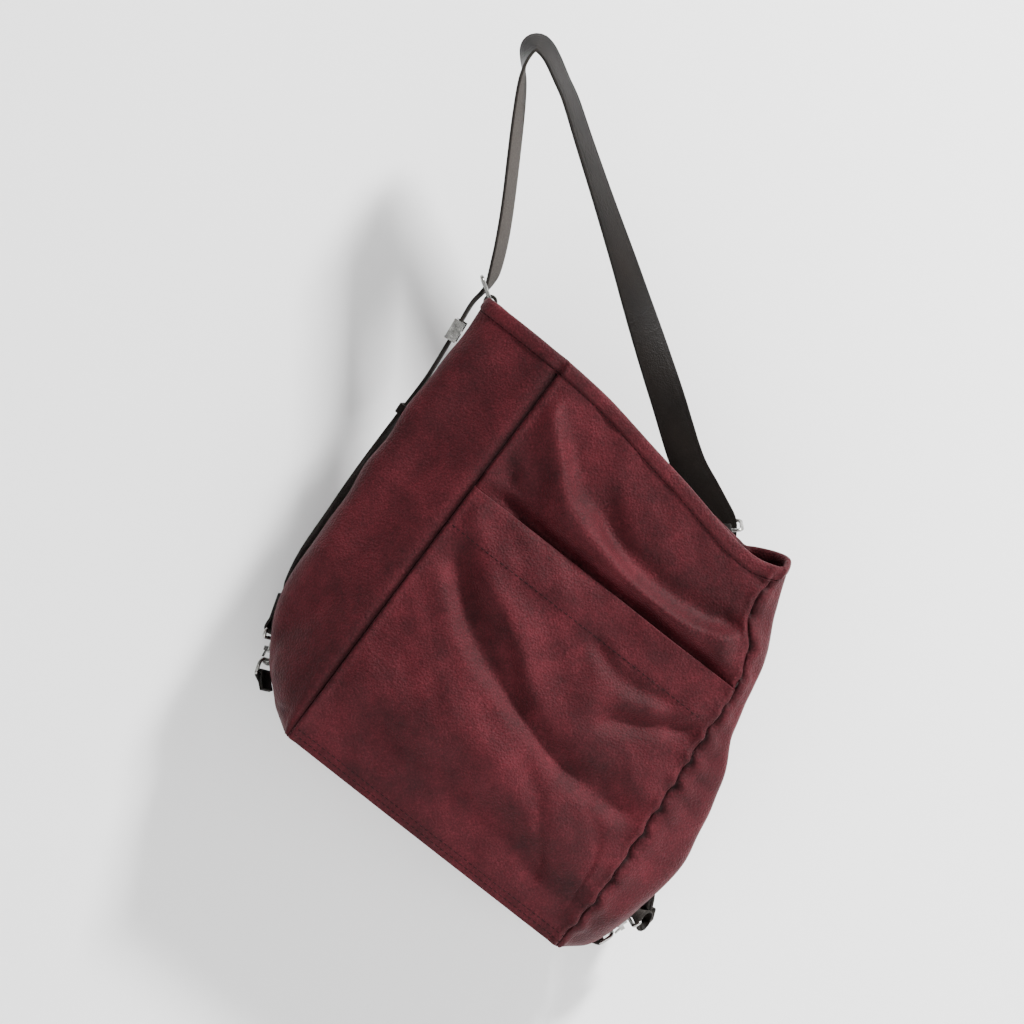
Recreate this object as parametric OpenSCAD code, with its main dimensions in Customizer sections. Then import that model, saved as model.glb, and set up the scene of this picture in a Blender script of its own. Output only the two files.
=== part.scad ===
// Hobo bag that hangs by its shoulder strap over a peg.
// Origin: the point of the strap that bears on the peg. +Z up, +Y away from the
// viewer towards the wall, +X to the viewer's right. Millimetres.

/* [Bag] */
// Width of the base panel between its front corners
base_w = 290; // [280:1:300]
// Tilt of the bag from upright as it hangs
tilt = 38; // [36:0.5:40]
// How far the bag's middle line moves back for each mm down from the mouth
lean = 0.15; // [0.13:0.01:0.17]
// Thickness of the leather
leather_t = 2.2; // [1.6:0.1:2.4]
// Height of the padded rim band
rim_h = 15; // [12:1:18]
// Depth of the leather facing inside the mouth
facing_h = 45; // [40:1:50]
// Height of the front pocket's mouth above the base
pocket_h = 265; // [258:1:270]
// Room between the front pocket and the panel behind it
pocket_gap = 8; // [7:0.5:9]

/* [Strap] */
// Width of the strap
strap_w = 30; // [26:1:32]
// Thickness of the strap leather
strap_t = 3; // [2.4:0.1:3.2]
// Radius of the ring and hook wire
wire_r = 1.6; // [1.4:0.1:1.8]

/* [Hardware] */
// Clear length of the oblong top rings
ring_long = 34; // [34:0.5:36]
// Distance between the long bars of a top ring, centre to centre
ring_span = 22; // [20:0.5:24]
// Width of the leather tabs at the top rings
top_tab_w = 18; // [14:1:20]
// Width of the leather tabs at the lower rings
low_tab_w = 16; // [12:1:17]
// Clear width of a lower D-ring
d_ring_w = 19; // [18:0.5:20]
// Centre-line radius of a snap hook's round end
hook_r = 5.6; // [5.2:0.1:6]

/* [Inside] */
// Length of the inner pocket's zip
zip_len = 150; // [140:1:160]
// Radius of a magnetic snap half
snap_r = 9; // [8:0.5:10]

/* [Hidden] */
$fn = 48;

burgundy = "#5d2430";
black_leather = "#1a1412";
nickel = "#b9bab8";
cloth = "#3a302c";

fit = 0.3;                       // clearance between neighbours
base_at = [-95, 0, -667];        // centre of the base panel's front-to-back line, as hung
bag_h = 400;                     // height of the mouth's highest corner
mouth_y = -22;                   // middle of the mouth, front to back

// Smooth curve through [position, value] pairs
function span_at(k, list, i = 0) =
    i >= len(list) - 2 || k < list[i + 1][0] ? i : span_at(k, list, i + 1);
function slope_at(list, i) =
    let (a = max(i - 1, 0), b = min(i + 1, len(list) - 1))
    (list[b][1] - list[a][1]) / (list[b][0] - list[a][0]);
function smooth(k, list) =
    let (i = span_at(k, list), h = list[i + 1][0] - list[i][0], u = (k - list[i][0]) / h)
    list[i][1] * (2 * u * u * u - 3 * u * u + 1)
    + slope_at(list, i) * h * (u * u * u - 2 * u * u + u)
    + list[i + 1][1] * (3 * u * u - 2 * u * u * u)
    + slope_at(list, i + 1) * h * (u * u * u - u * u);
function mix(a, b, u) = a + (b - a) * u;
function ease(u) = let (v = min(max(u, 0), 1)) v * v * (3 - 2 * v);
function unit(v) = v / norm(v);

// The four seams and the bulge of each wall, against the height fraction
half_base = base_w / 2;
front_left_x = [[0, -half_base], [1, -half_base - 8]];
front_right_x = [[0, half_base], [0.15, half_base + 2], [0.43, half_base - 6],
    [0.6, half_base - 12], [0.71, half_base - 15], [0.8, half_base - 27],
    [0.88, half_base - 47], [1, half_base - 49]];
back_left_x = [[0, -148], [0.03, -160], [0.1, -180], [0.2, -196], [0.3, -205],
    [0.5, -215], [0.75, -219], [1, -222]];
back_right_x = [[0, 150], [0.04, 154], [0.15, 158], [0.3, 148], [0.5, 130],
    [0.75, 98], [1, 62]];
left_out = [[0, 4], [0.03, 18], [0.1, 33], [0.2, 46], [0.3, 47], [0.5, 43], [1, 44]];
right_out = [[0, 4], [0.04, 18], [0.15, 30], [0.3, 43], [0.5, 38], [0.62, 26],
    [0.73, 22], [0.85, 28], [1, 16]];
half_depth = [[0, 42], [0.15, 42], [0.3, 38], [0.5, 32], [0.75, 27], [1, 24]];
front_out = [[0, 2], [0.1, 10], [0.3, 14], [0.5, 10], [0.7, 6], [1, 1]];
back_out = [[0, 1], [0.2, 6], [0.6, 4], [1, 1]];
// Height of the mouth along the front, from the left seam to the right one
front_rim_z = [[0, 396], [0.22, 391], [0.55, 377], [0.8, 365], [0.92, 364], [1, 370]];
right_rim_hump = 13;                // how far the mouth curls up at the right gusset
right_back_z = 368;
left_back_z = 400;

// Columns of the wall, counted once round from the front left seam
front_n = 14;
side_n = 8;
back_n = 10;
front_right = front_n;
back_right = front_n + side_n;
back_left = front_n + side_n + back_n;
wall_n = front_n + 2 * side_n + back_n;

function rim_z(i) =
    i <= front_right ? smooth(i / front_n, front_rim_z)
    : i <= back_right ? mix(front_rim_z[5][1], right_back_z, (i - front_right) / side_n)
        + right_rim_hump * swell((i - front_right) / side_n)
    : i <= back_left ? mix(right_back_z, left_back_z, (i - back_right) / back_n)
    : mix(left_back_z, front_rim_z[0][1], (i - back_left) / side_n);
function middle_y(h) = mouth_y + lean * bag_h * (1 - h);
function front_y(h) = middle_y(h) - smooth(h, half_depth);
function back_y(h) = middle_y(h) + smooth(h, half_depth);
function swell(u) = 4 * u * (1 - u);
// A point of the outer wall at column i and height fraction h
function wall_xy(i, h) =
    let (fl = [smooth(h, front_left_x), front_y(h)], fr = [smooth(h, front_right_x), front_y(h)],
         br = [smooth(h, back_right_x), back_y(h)], bl = [smooth(h, back_left_x), back_y(h)],
         s = i <= front_right ? i / front_n : i <= back_right ? (i - front_right) / side_n
            : i <= back_left ? (i - back_right) / back_n : (i - back_left) / side_n)
    i <= front_right ? mix(fl, fr, s) + [0, -smooth(h, front_out) * swell(s)]
    : i <= back_right ? mix(fr, br, s) + [smooth(h, right_out) * swell(s), 0]
    : i <= back_left ? mix(br, bl, s) + [0, smooth(h, back_out) * swell(s)]
    : mix(bl, fl, s) + [-smooth(h, left_out) * swell(s), 0];
function wall_point(i, h) = concat(wall_xy(i, h), [rim_z(i) * h]);

// Height step k runs 0 to 1 up to the pocket's mouth and 1 to 2 from there to the rim band
function height_of(i, k) =
    let (mouth = pocket_h / rim_z(i), top = 1 - rim_h / rim_z(i))
    k <= 1 ? k * mouth : mix(mouth, top, k - 1);
function wall_row(k) = [for (i = [0:wall_n - 1]) wall_point(i, height_of(i, k))];
function edge_out(row, i) =
    let (a = row[(i + len(row)) % len(row)], b = row[(i + 1) % len(row)],
         e = unit([b[0] - a[0], b[1] - a[1]]))
    [e[1], -e[0]];
// A wall row moved inwards, by depth[i] at column i
function inset(row, depth) = [for (i = [0:len(row) - 1])
    let (a = edge_out(row, i - 1), b = edge_out(row, i), m = (a + b) / (1 + a * b))
    [row[i][0] - depth[i] * m[0], row[i][1] - depth[i] * m[1], row[i][2]]];
// How much deeper the front panel lies where the pocket covers it
function behind_pocket(i, k) =
    i < 0 || i > front_n ? 0
    : let (s = i / front_n, side = ease(s * 8) * ease((1 - s) * 8), low = ease(k * 6))
      (leather_t + fit) * ease((1.16 - k) * 8) + pocket_gap * side * low * ease((1.16 - k) * 8);
function layer(k, d) = inset(wall_row(k), [for (i = [0:wall_n - 1]) d + behind_pocket(i, k)]);
function outer_layer(k, d) = inset(wall_row(k), [for (i = [0:wall_n - 1]) d]);
// Columns first to last of a row, each end drawn in by half the clearance
function cut(row, first, last) = [for (i = [first:last])
    let (n = len(row), p = row[i % n], q = row[(i + 1) % n], o = row[(i + n - 1) % n])
    i == first ? p + unit(q - p) * fit / 2 : i == last ? p + unit(o - p) * fit / 2 : p];

// Closed solid between two grids of points, rows upwards and columns round the bag
module slab(outer, inner, closed = false) {
    rows = len(outer);
    cols = len(outer[0]);
    inner_at = rows * cols;
    quads = closed ? cols : cols - 1;
    function at(j, i) = j * cols + i % cols;
    function both(a, b, c, d) = [[a, b, c], [a, c, d]];
    skins = [for (j = [0:rows - 2], i = [0:quads - 1], f = concat(
        both(at(j, i), at(j + 1, i), at(j + 1, i + 1), at(j, i + 1)),
        both(inner_at + at(j, i), inner_at + at(j, i + 1), inner_at + at(j + 1, i + 1),
            inner_at + at(j + 1, i)))) f];
    ends = [for (i = [0:quads - 1], f = concat(
        both(at(0, i), at(0, i + 1), inner_at + at(0, i + 1), inner_at + at(0, i)),
        both(at(rows - 1, i + 1), at(rows - 1, i), inner_at + at(rows - 1, i),
            inner_at + at(rows - 1, i + 1)))) f];
    sides = closed ? [] : [for (j = [0:rows - 2], f = concat(
        both(at(j + 1, 0), at(j, 0), inner_at + at(j, 0), inner_at + at(j + 1, 0)),
        both(at(j, cols - 1), at(j + 1, cols - 1), inner_at + at(j + 1, cols - 1),
            inner_at + at(j, cols - 1)))) f];
    polyhedron(concat([for (row = outer) each row], [for (row = inner) each row]),
        concat(skins, ends, sides));
}

module in_bag() {
    translate(base_at) rotate([0, tilt, 0]) children();
}

wall_steps = [0.012, 0.04, 0.09, 0.17, 0.28, 0.42, 0.58, 0.76, 0.9, 1, 1.04, 1.08, 1.12, 1.16,
    1.3, 1.5, 1.75, 2];
module wall_panel(first, last) {
    in_bag() slab([for (k = wall_steps) cut(layer(k, 0), first, last)],
        [for (k = wall_steps) cut(layer(k, leather_t), first, last)]);
}

module front_panel() {
    color(burgundy) wall_panel(0, front_right);
}
module right_gusset() {
    color(burgundy) wall_panel(front_right, back_right);
}
module back_panel() {
    color(burgundy) wall_panel(back_right, back_left);
}
module left_gusset() {
    color(burgundy) wall_panel(back_left, wall_n);
}
module front_pocket() {
    steps = [0.012, 0.04, 0.09, 0.17, 0.28, 0.42, 0.58, 0.76, 0.9, 1];
    color(burgundy) in_bag() slab([for (k = steps) cut(outer_layer(k, 0), 0, front_right)],
        [for (k = steps) cut(outer_layer(k, leather_t), 0, front_right)]);
}

floor_top = height_of(0, wall_steps[0]) * rim_z(0) - fit;
module base_panel() {
    foot = inset(wall_row(0), [for (i = [0:wall_n - 1]) fit]);
    color(burgundy) in_bag() translate([0, 0, floor_top - leather_t]) linear_extrude(leather_t)
        polygon([for (p = foot) [p[0], p[1]]]);
}
board_z = floor_top + 1;
board_t = 2;
board_margin = 12;
module base_board() {
    corners = [wall_xy(0, 0), wall_xy(front_right, 0), wall_xy(back_right, 0),
        wall_xy(back_left, 0)];
    middle = (corners[0] + corners[2]) / 2;
    color(cloth) in_bag() translate([0, 0, board_z]) linear_extrude(board_t)
        polygon([for (c = corners) c - [sign(c[0] - middle[0]), sign(c[1] - middle[1])]
            * board_margin]);
}

// Padded band sewn round the mouth
module rim_band() {
    function band_row(f, d) = inset(
        [for (i = [0:wall_n - 1]) wall_point(i, 1 - rim_h / rim_z(i) * f)],
        [for (i = [0:wall_n - 1]) d]);
    lift = [0, 0, fit];
    levels = [[1, 0.2, 3.6], [0.85, -1.2, 5], [0.4, -1.6, 5.4], [0.1, -0.4, 4.2], [0, 0.8, 3]];
    color(burgundy) in_bag() translate(lift)
        slab([for (v = levels) band_row(v[0], v[1])], [for (v = levels) band_row(v[0], v[2])], true);
}
// Step at which the facing's lower edge lies below the rim band
function facing_step(i) = 2 - (facing_h - rim_h) / (rim_z(i) - pocket_h - rim_h);
module mouth_facing() {
    function facing_row(u, d) = inset(
        [for (i = [0:wall_n - 1]) wall_point(i, height_of(i, mix(facing_step(i), 2, u)))],
        [for (i = [0:wall_n - 1]) d]);
    steps = [0, 0.33, 0.66, 1];
    color(burgundy) in_bag() slab([for (u = steps) facing_row(u, leather_t + fit)],
        [for (u = steps) facing_row(u, leather_t + fit + 1.2)], true);
}
lining_t = 0.8;
lining_top = 1.6;
module lining() {
    steps = [for (k = wall_steps) if (k > 0.03 && k < lining_top) k];
    color(cloth) in_bag() slab([for (k = steps) layer(k, leather_t + fit)],
        [for (k = steps) layer(k, leather_t + fit + lining_t)], true);
}

// A patch on the inside of the front or back wall
module inside_patch(first, last, steps, d, t) {
    in_bag() slab([for (k = steps) cut(layer(k, d), first, last)],
        [for (k = steps) cut(layer(k, d + t), first, last)]);
}
patch_d = leather_t + lining_t + 2 * fit;
module inner_slip_pocket() {
    color(cloth) inside_patch(4, 10, [0.42, 0.58, 0.76, 0.9], patch_d, 1);
}
module zip_pocket() {
    color(cloth) inside_patch(back_right + 2, back_left - 2, [0.42, 0.58, 0.76, 0.9], patch_d, 1);
}

// Frame on the inner face of the back wall: x along the zip, z up the wall, y into the bag
zip_wall = layer(1.02, patch_d);
zip_a = zip_wall[back_right + 3];
zip_b = zip_wall[back_left - 3];
zip_mid = (zip_a + zip_b) / 2 + [0, -4.5, 0];
zip_lean = 12;
zip_turn = atan2(zip_b[2] - zip_a[2], zip_a[0] - zip_b[0]);
module at_zip() {
    in_bag() translate(zip_mid) rotate([0, zip_turn, 0]) rotate([zip_lean, 0, 0]) children();
}
zip_end = zip_len / 2;
module zip_tape() {
    color(cloth) at_zip() for (side = [-1, 1])
        translate([-zip_end - 8, -0.8, side > 0 ? 1.6 : -13.6]) cube([zip_len + 16, 0.8, 12]);
}
module zip_teeth() {
    color(nickel) at_zip() for (side = [-1, 1])
        translate([-zip_end, -1, side > 0 ? 0.15 : -1.45]) cube([zip_len, 1.4, 1.3]);
}
slider_x = -zip_end + 14;
module zip_slider() {
    color(nickel) at_zip() translate([slider_x, 0, 0]) {
        translate([-6, -3.6, -4.5]) cube([12, 1.8, 9]);
        rotate([90, 0, 0]) {
            translate([0, 0, 3.4]) cylinder(h = 3.6, r = 1.1);
            translate([0, 0, 6.9]) cylinder(h = 0.8, r = 2.6);
        }
    }
}
pull_len = 26;
module zip_pull() {
    color(nickel) at_zip() translate([slider_x, -5.5, 0])
        rotate([0, -tilt - zip_turn, 0]) difference() {
            union() {
                translate([-1.6, -0.6, -pull_len]) cube([3.2, 1.2, pull_len - 2]);
                translate([0, 0, -pull_len]) rotate([90, 0, 0])
                    cylinder(h = 1.2, r = 3, center = true);
                rotate([90, 0, 0]) cylinder(h = 1.2, r = 3.2, center = true);
            }
            rotate([90, 0, 0]) cylinder(h = 6, r = 1.25, center = true);
            translate([0, 0, -pull_len]) rotate([90, 0, 0]) cylinder(h = 6, r = 1.3, center = true);
        }
}

// Magnetic snap halves on the facing, at the middle of the front and the back
snap_drop = 32;
function snap_at(i) = let (h = 1 - snap_drop / rim_z(i))
    wall_point(i, h) + (i < back_right ? [0, 1, 0] : [0, -1, 0]) * (leather_t + fit + 3.4);
module front_snap() {
    color(nickel) in_bag() translate(snap_at(front_n / 2)) rotate([-90, 0, 0]) {
        cylinder(h = 1.6, r = snap_r);
        translate([0, 0, 1.6]) difference() {
            cylinder(h = 2, r = snap_r - 1.5);
            cylinder(h = 5, r = 3, center = true);
        }
    }
}
module back_snap() {
    color(nickel) in_bag() translate(snap_at(back_right + back_n / 2)) rotate([90, 0, 0]) {
        cylinder(h = 1.6, r = snap_r);
        translate([0, 0, 1.6]) cylinder(h = 1.2, r = snap_r - 1.5);
        translate([0, 0, 2.8]) cylinder(h = 2, r = 2.6);
    }
}

// Ribbon of leather through stations [position, width direction], in one solid
function ribbon_station(k, stations) = smooth(k, [for (i = [0:len(stations) - 1])
    [i, stations[i]]]);
module ribbon(stations, steps_each, w, t) {
    last = len(stations) - 1;
    ks = [for (j = [0:last * steps_each]) j / steps_each];
    where = [for (k = ks) ribbon_station(k, [for (s = stations) s[0]])];
    across = [for (k = ks) unit(ribbon_station(k, [for (s = stations) s[1]]))];
    n = len(ks);
    sections = [for (j = [0:n - 1])
        let (along = unit(where[min(j + 1, n - 1)] - where[max(j - 1, 0)]),
             out = unit(cross(across[j], along)))
        [for (c = [[-1, -1], [1, -1], [1, 1], [-1, 1]])
            where[j] + across[j] * c[0] * w / 2 + out * c[1] * t / 2]];
    faces = concat([[3, 2, 1, 0], [for (c = [0:3]) 4 * (n - 1) + c]],
        [for (j = [0:n - 2], c = [0:3], f = [
            [4 * j + 4 + (c + 1) % 4, 4 * j + 4 + c, 4 * j + c],
            [4 * j + (c + 1) % 4, 4 * j + 4 + (c + 1) % 4, 4 * j + c]]) f]);
    polyhedron([for (s = sections) each s], faces);
}

// Shoulder strap: [x, y, z, twist], twist measured from edge-on towards flat-on,
// with the outward side of the loop given by the turn of the route
strap_route = [[-37.5, 18, -194.5, -4], [-33, 16, -184, -14], [-26.5, 12, -157, -17],
    [-21, 8, -123, -17], [-15, 4, -73, -17], [-11, 1, -39, -14], [-8.5, 0, -18, -6],
    [-6.5, 0, -3, 14], [-3, 0, 7, 32], [3, 0, 11, 37], [10, 0, 6, 34], [16.5, 0, -4, 29],
    [24.5, 0, -22, 27], [32, 1, -39, 28], [43, 3, -73, 31], [60, 6, -124, 37],
    [77, 9, -175, 48], [87.5, 11, -208, 57], [104, 13, -259, 74], [115, 14, -293, 84],
    [131, 17, -344, 90], [144.5, 20.5, -371, 90], [158, 22.5, -397, 90]];
function route_dir(i) = let (a = max(i - 1, 0), b = min(i + 1, len(strap_route) - 1),
    d = [for (c = [0:2]) strap_route[b][c] - strap_route[a][c]]) unit(d);
function outward(i) = let (d = route_dir(i)) unit([-d[2], 0, d[0]]);
// At the right ring the strap's width turns to lie along the ring's bars
ring_bar_right = [cos(tilt) * 0.76 + sin(tilt) * 0.65, 0, -sin(tilt) * 0.76 + cos(tilt) * 0.65];
function strap_across(i) = let (last = len(strap_route) - 1, a = strap_route[i][3],
    w = [0, 1, 0] * cos(a) + outward(i) * sin(a))
    i < last - 1 ? w : unit(mix(w, ring_bar_right, i - last + 2 > 1 ? 1 : 0.5));
module shoulder_strap() {
    stations = [for (i = [0:len(strap_route) - 1])
        [[for (c = [0:2]) strap_route[i][c]], strap_across(i)]];
    color(black_leather) ribbon(stations, 2, strap_w, strap_t);
}

// Lower runs of the strap, from the top rings down to the hooks, in the bag's frame
left_ring_at = [-245, 18, 403];
right_ring_at = [36, 22.5, 367];
// Depth at which a strap lies on the back wall at height z
function behind_back(z) = back_y(z / right_back_z) + smooth(z / right_back_z, back_out) + 6;
left_run = [[-246.5, 18, 397], [-247.5, 18, 386], [-244.2, 19.5, 360], [-239.5, 23.5, 320],
    [-237, 28, 280], [-233, 34, 230], [-229, 42, 180], [-226, 52, 130], [-219, 60, 97],
    [-209.5, 64, 66.5]];
right_run = [for (p = [[38.5, 361.5], [50, 340], [73, 306], [100, 265], [122, 215],
    [146, 165], [168, 118], [182, 90], [189.5, 65]]) [p[0], max(right_ring_at[1] - 0.5, behind_back(p[1])), p[1]]];
low_across_left = [0.5, 0.87, 0];
low_across_right = [-0.42, 0.9, 0];
module left_strap_run() {
    last = len(left_run) - 1;
    stations = [for (i = [0:last]) [left_run[i], mix([0, 1, 0], low_across_left, ease((i - 3) / 3))]];
    color(black_leather) in_bag() ribbon(stations, 2, strap_w, strap_t);
}
module right_strap_run() {
    last = len(right_run) - 1;
    stations = [for (i = [0:last])
        let (d = unit(right_run[min(i + 1, last)] - right_run[max(i - 1, 0)]),
             flat = unit([-d[2], 0, d[0]]))
        [right_run[i], i == 0 ? [0.76, 0, 0.65] : mix(flat, low_across_right,
            ease((i - last + 3) / 3))]];
    color(black_leather) in_bag() ribbon(stations, 2, strap_w, strap_t);
}

// Bent wire: a round-cornered oblong loop in the XZ plane, bars along X
module wire_loop(long, span, r, corner = 4) {
    x = long / 2 + r;
    z = span / 2;
    for (s = [-1, 1]) {
        translate([0, 0, s * z]) rotate([0, 90, 0])
            cylinder(h = 2 * (x - corner), r = r, center = true);
        translate([s * x, 0, 0]) cylinder(h = 2 * (z - corner), r = r, center = true);
    }
    for (sx = [-1, 1], sz = [-1, 1])
        translate([sx * (x - corner), 0, sz * (z - corner)])
            rotate([90, sx > 0 ? (sz > 0 ? 0 : 90) : (sz > 0 ? -90 : 180), 0])
                rotate_extrude(angle = 90) translate([corner, 0]) circle(r = r);
}
// Left ring: bars along Y, short side rising outwards. Right ring: bars along the strap's width
left_rise = 33;
right_bar_turn = -40.5;
right_rise = 68;
module at_left_ring() {
    in_bag() translate(left_ring_at) rotate([0, left_rise - 90, 0]) rotate([0, 0, 90]) children();
}
module at_right_ring() {
    in_bag() translate(right_ring_at) rotate([0, right_bar_turn, 0])
        rotate([-right_rise, 0, 0]) children();
}
module left_ring() {
    color(nickel) at_left_ring() wire_loop(ring_long, ring_span, wire_r);
}
module right_ring() {
    color(nickel) at_right_ring() wire_loop(ring_long, ring_span, wire_r);
}

// Leather tab at a top ring: a sewn loop about the ring's inner bar and a tail that runs
// down the bag's outside. Drawn with the bar along Y at the origin and the tail towards -Z
tab_room = 2;
tab_loop_r = wire_r + tab_room;
module tab_shape(w, tail, t, lean_back) {
    rotate([90, 0, 0]) difference() {
        cylinder(h = w, r = tab_loop_r + t, center = true);
        cylinder(h = w + 2, r = tab_loop_r, center = true);
    }
    if (tail > 0) rotate([0, lean_back, 0])
        translate([-tab_loop_r - t, -w / 2, -tail]) cube([t, w, tail - 1]);
}
tab_t = 2.4;
tab_tail = 32;
// Frames with the origin on a ring's inner bar, in the bag's frame
module at_left_bar() {
    in_bag() translate(left_ring_at - [-sin(90 - left_rise), 0, cos(90 - left_rise)] * ring_span / 2)
        children();
}
module at_right_bar() {
    at_right_ring() translate([0, 0, -ring_span / 2]) rotate([right_rise, 0, 0]) children();
}
// The left tab turns from the bar to lie on the back panel beside the corner
left_patch = [14, -8, -34];
module left_top_tab() {
    color(black_leather) at_left_bar() {
        tab_shape(top_tab_w, 0, tab_t, 0);
        hull() {
            translate([2, -top_tab_w / 2, -6.4]) cube([2.4, top_tab_w, 1]);
            translate(left_patch) cube([18, tab_t, 16]);
        }
    }
}
module right_top_tab() {
    color(black_leather) at_right_bar() rotate([0, 0, 90]) tab_shape(top_tab_w, tab_tail, tab_t, -11);
}

// Lower hardware, one set on each side. Frame: D-ring bar along Y at the origin, pull
// along +Z: the tab below it, then D-ring, snap hook, swivel eye and the strap's end
low_lean = 20;
left_low_at = [-194.5, 64, 24.5];
right_low_at = [174, 70, 23];
module at_left_low() {
    in_bag() translate(left_low_at) rotate([0, -low_lean, 0]) rotate([0, 0, -30]) children();
}
module at_right_low() {
    in_bag() translate(right_low_at) rotate([0, low_lean, 0]) rotate([0, 0, 25]) children();
}
d_depth = 12.9;
module d_ring() {
    half = d_ring_w / 2 + wire_r;
    corner = 6;
    rotate([90, 0, 0]) cylinder(h = 2 * half, r = wire_r, center = true);
    for (s = [-1, 1]) {
        translate([0, s * half, 0]) sphere(r = wire_r);
        translate([0, s * half, 0]) cylinder(h = d_depth - corner, r = wire_r);
        translate([0, s * (half - corner), d_depth - corner]) rotate([90, 0, s * 90])
            rotate_extrude(angle = 90) translate([corner, 0]) circle(r = wire_r);
    }
    translate([0, 0, d_depth]) rotate([90, 0, 0])
        cylinder(h = 2 * (half - corner), r = wire_r, center = true);
}
module left_d_ring() { color(nickel) at_left_low() d_ring(); }
module right_d_ring() { color(nickel) at_right_low() d_ring(); }

// Snap hook: a round end with a mouth on one side, a body above it and a swivel post
hook_z = 15;
body_z = hook_z + hook_r;
mouth_low = -28;
mouth_high = 62;
module snap_hook(side) {
    mirror([side > 0 ? 0 : 1, 0, 0]) {
        translate([0, 0, hook_z]) rotate([90, 0, 0]) rotate([0, 0, mouth_high])
            rotate_extrude(angle = 360 - mouth_high + mouth_low) translate([hook_r, 0])
                circle(r = wire_r);
        difference() {
            union() {
                translate([0, 0, body_z]) cylinder(h = 8, r = 3);
                translate([1.5, -2.6, body_z - 0.6]) cube([4.4, 5.2, 4]);
            }
            translate([3, -1.1, body_z - 2]) cube([4, 2.2, 6.5]);
            translate([4.4, 0, body_z + 1.4]) rotate([90, 0, 0])
                cylinder(h = 8, r = 0.66, center = true);
            translate([0, 0, body_z + 3.6]) cylinder(h = 6, r = 1.56);
            translate([0, 0, body_z + 3.4]) cylinder(h = 2, r = 2.3);
        }
    }
}
// Gate: a bar that closes the mouth from the body down to the hook's tip
module snap_gate(side) {
    mirror([side > 0 ? 0 : 1, 0, 0]) difference() {
        union() {
            translate([4.4, 0, body_z + 1.4]) rotate([90, 0, 0])
                cylinder(h = 1.8, r = 1.3, center = true);
            hull() {
                translate([4.6, 0, body_z]) rotate([90, 0, 0]) cylinder(h = 1.8, r = 0.7, center = true);
                translate([5.9, 0, hook_z - 0.2]) rotate([90, 0, 0])
                    cylinder(h = 1.8, r = 0.7, center = true);
            }
        }
        translate([4.4, 0, body_z + 1.4]) rotate([90, 0, 0]) cylinder(h = 4, r = 0.66, center = true);
    }
}
module gate_pin(side) {
    mirror([side > 0 ? 0 : 1, 0, 0]) translate([4.4, 0, body_z + 1.4]) rotate([90, 0, 0])
        cylinder(h = 5.2, r = 0.6, center = true);
}
eye_z = body_z + 14.5;
eye_span = 7;
module swivel_eye() {
    translate([0, 0, body_z + 3.8]) cylinder(h = 1.2, r = 2);
    translate([0, 0, body_z + 4.8]) cylinder(h = eye_z - eye_span / 2 - body_z - 4.8, r = 1.5);
    translate([0, 0, eye_z]) rotate([0, 0, 90]) wire_loop(strap_w + 1, eye_span, wire_r, 2.5);
}
module left_hook() { color(nickel) at_left_low() snap_hook(-1); }
module right_hook() { color(nickel) at_right_low() snap_hook(1); }
module left_gate() { color(nickel) at_left_low() snap_gate(-1); }
module right_gate() { color(nickel) at_right_low() snap_gate(1); }
module left_gate_pin() { color(nickel) at_left_low() gate_pin(-1); }
module right_gate_pin() { color(nickel) at_right_low() gate_pin(1); }
module left_swivel_eye() { color(nickel) at_left_low() swivel_eye(); }
module right_swivel_eye() { color(nickel) at_right_low() swivel_eye(); }
module low_tab() {
    rotate([90, 0, 0]) difference() {
        cylinder(h = low_tab_w, r = wire_r + 0.4 + 2, center = true);
        cylinder(h = low_tab_w + 2, r = wire_r + 0.05, center = true);
    }
    translate([-1.2, -low_tab_w / 2, -13]) cube([2.4, low_tab_w, 10]);
}
module left_low_tab() { color(black_leather) at_left_low() rotate([0, -34, 0]) low_tab(); }
module right_low_tab() { color(black_leather) at_right_low() rotate([0, 38, 0]) low_tab(); }

// Adjuster: a frame with a middle bar that rides on the strap's run, and a leather keeper
// below it. Drawn with the strap along Z and its width along X
adjuster_wire = 1.3;
adjuster_room = 1.2;
module adjuster() {
    side = strap_w / 2 + adjuster_room + adjuster_wire;
    out = strap_t / 2 + adjuster_room + adjuster_wire;
    for (z = [-8, 8]) translate([0, out, z]) rotate([0, 90, 0])
        cylinder(h = 2 * side, r = adjuster_wire, center = true);
    translate([0, -out, 0]) rotate([0, 90, 0])
        cylinder(h = 2 * side, r = adjuster_wire, center = true);
    for (s = [-1, 1]) translate([s * side - 1.1, -out - 1, -9.3]) cube([2.2, 2 * out + 2, 18.6]);
}
module keeper() {
    difference() {
        cube([strap_w + 5.2, strap_t + 5.2, 9], center = true);
        cube([strap_w + 1.2, strap_t + 1.2, 12], center = true);
    }
}
// Each sits at a station of its run, square to the strap there
module on_run(run, i, across) {
    z = unit(run[i - 1] - run[i + 1]);
    x = unit(across - z * (across * z));
    y = cross(z, x);
    in_bag() multmatrix([for (r = [0:2]) [x[r], y[r], z[r], run[i][r]]]) children();
}
function left_across(i) = unit(mix([0, 1, 0], low_across_left, ease((i - 3) / 3)));
function right_across(i) = let (d = unit(right_run[i + 1] - right_run[i - 1])) [-d[2], 0, d[0]];
module left_adjuster() { color(nickel) on_run(left_run, 2, left_across(2)) adjuster(); }
module left_keeper() { color(black_leather) on_run(left_run, 4, left_across(4)) keeper(); }
module right_adjuster() { color(nickel) on_run(right_run, 3, right_across(3)) adjuster(); }
module right_keeper() { color(black_leather) on_run(right_run, 5, right_across(5)) keeper(); }

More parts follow.
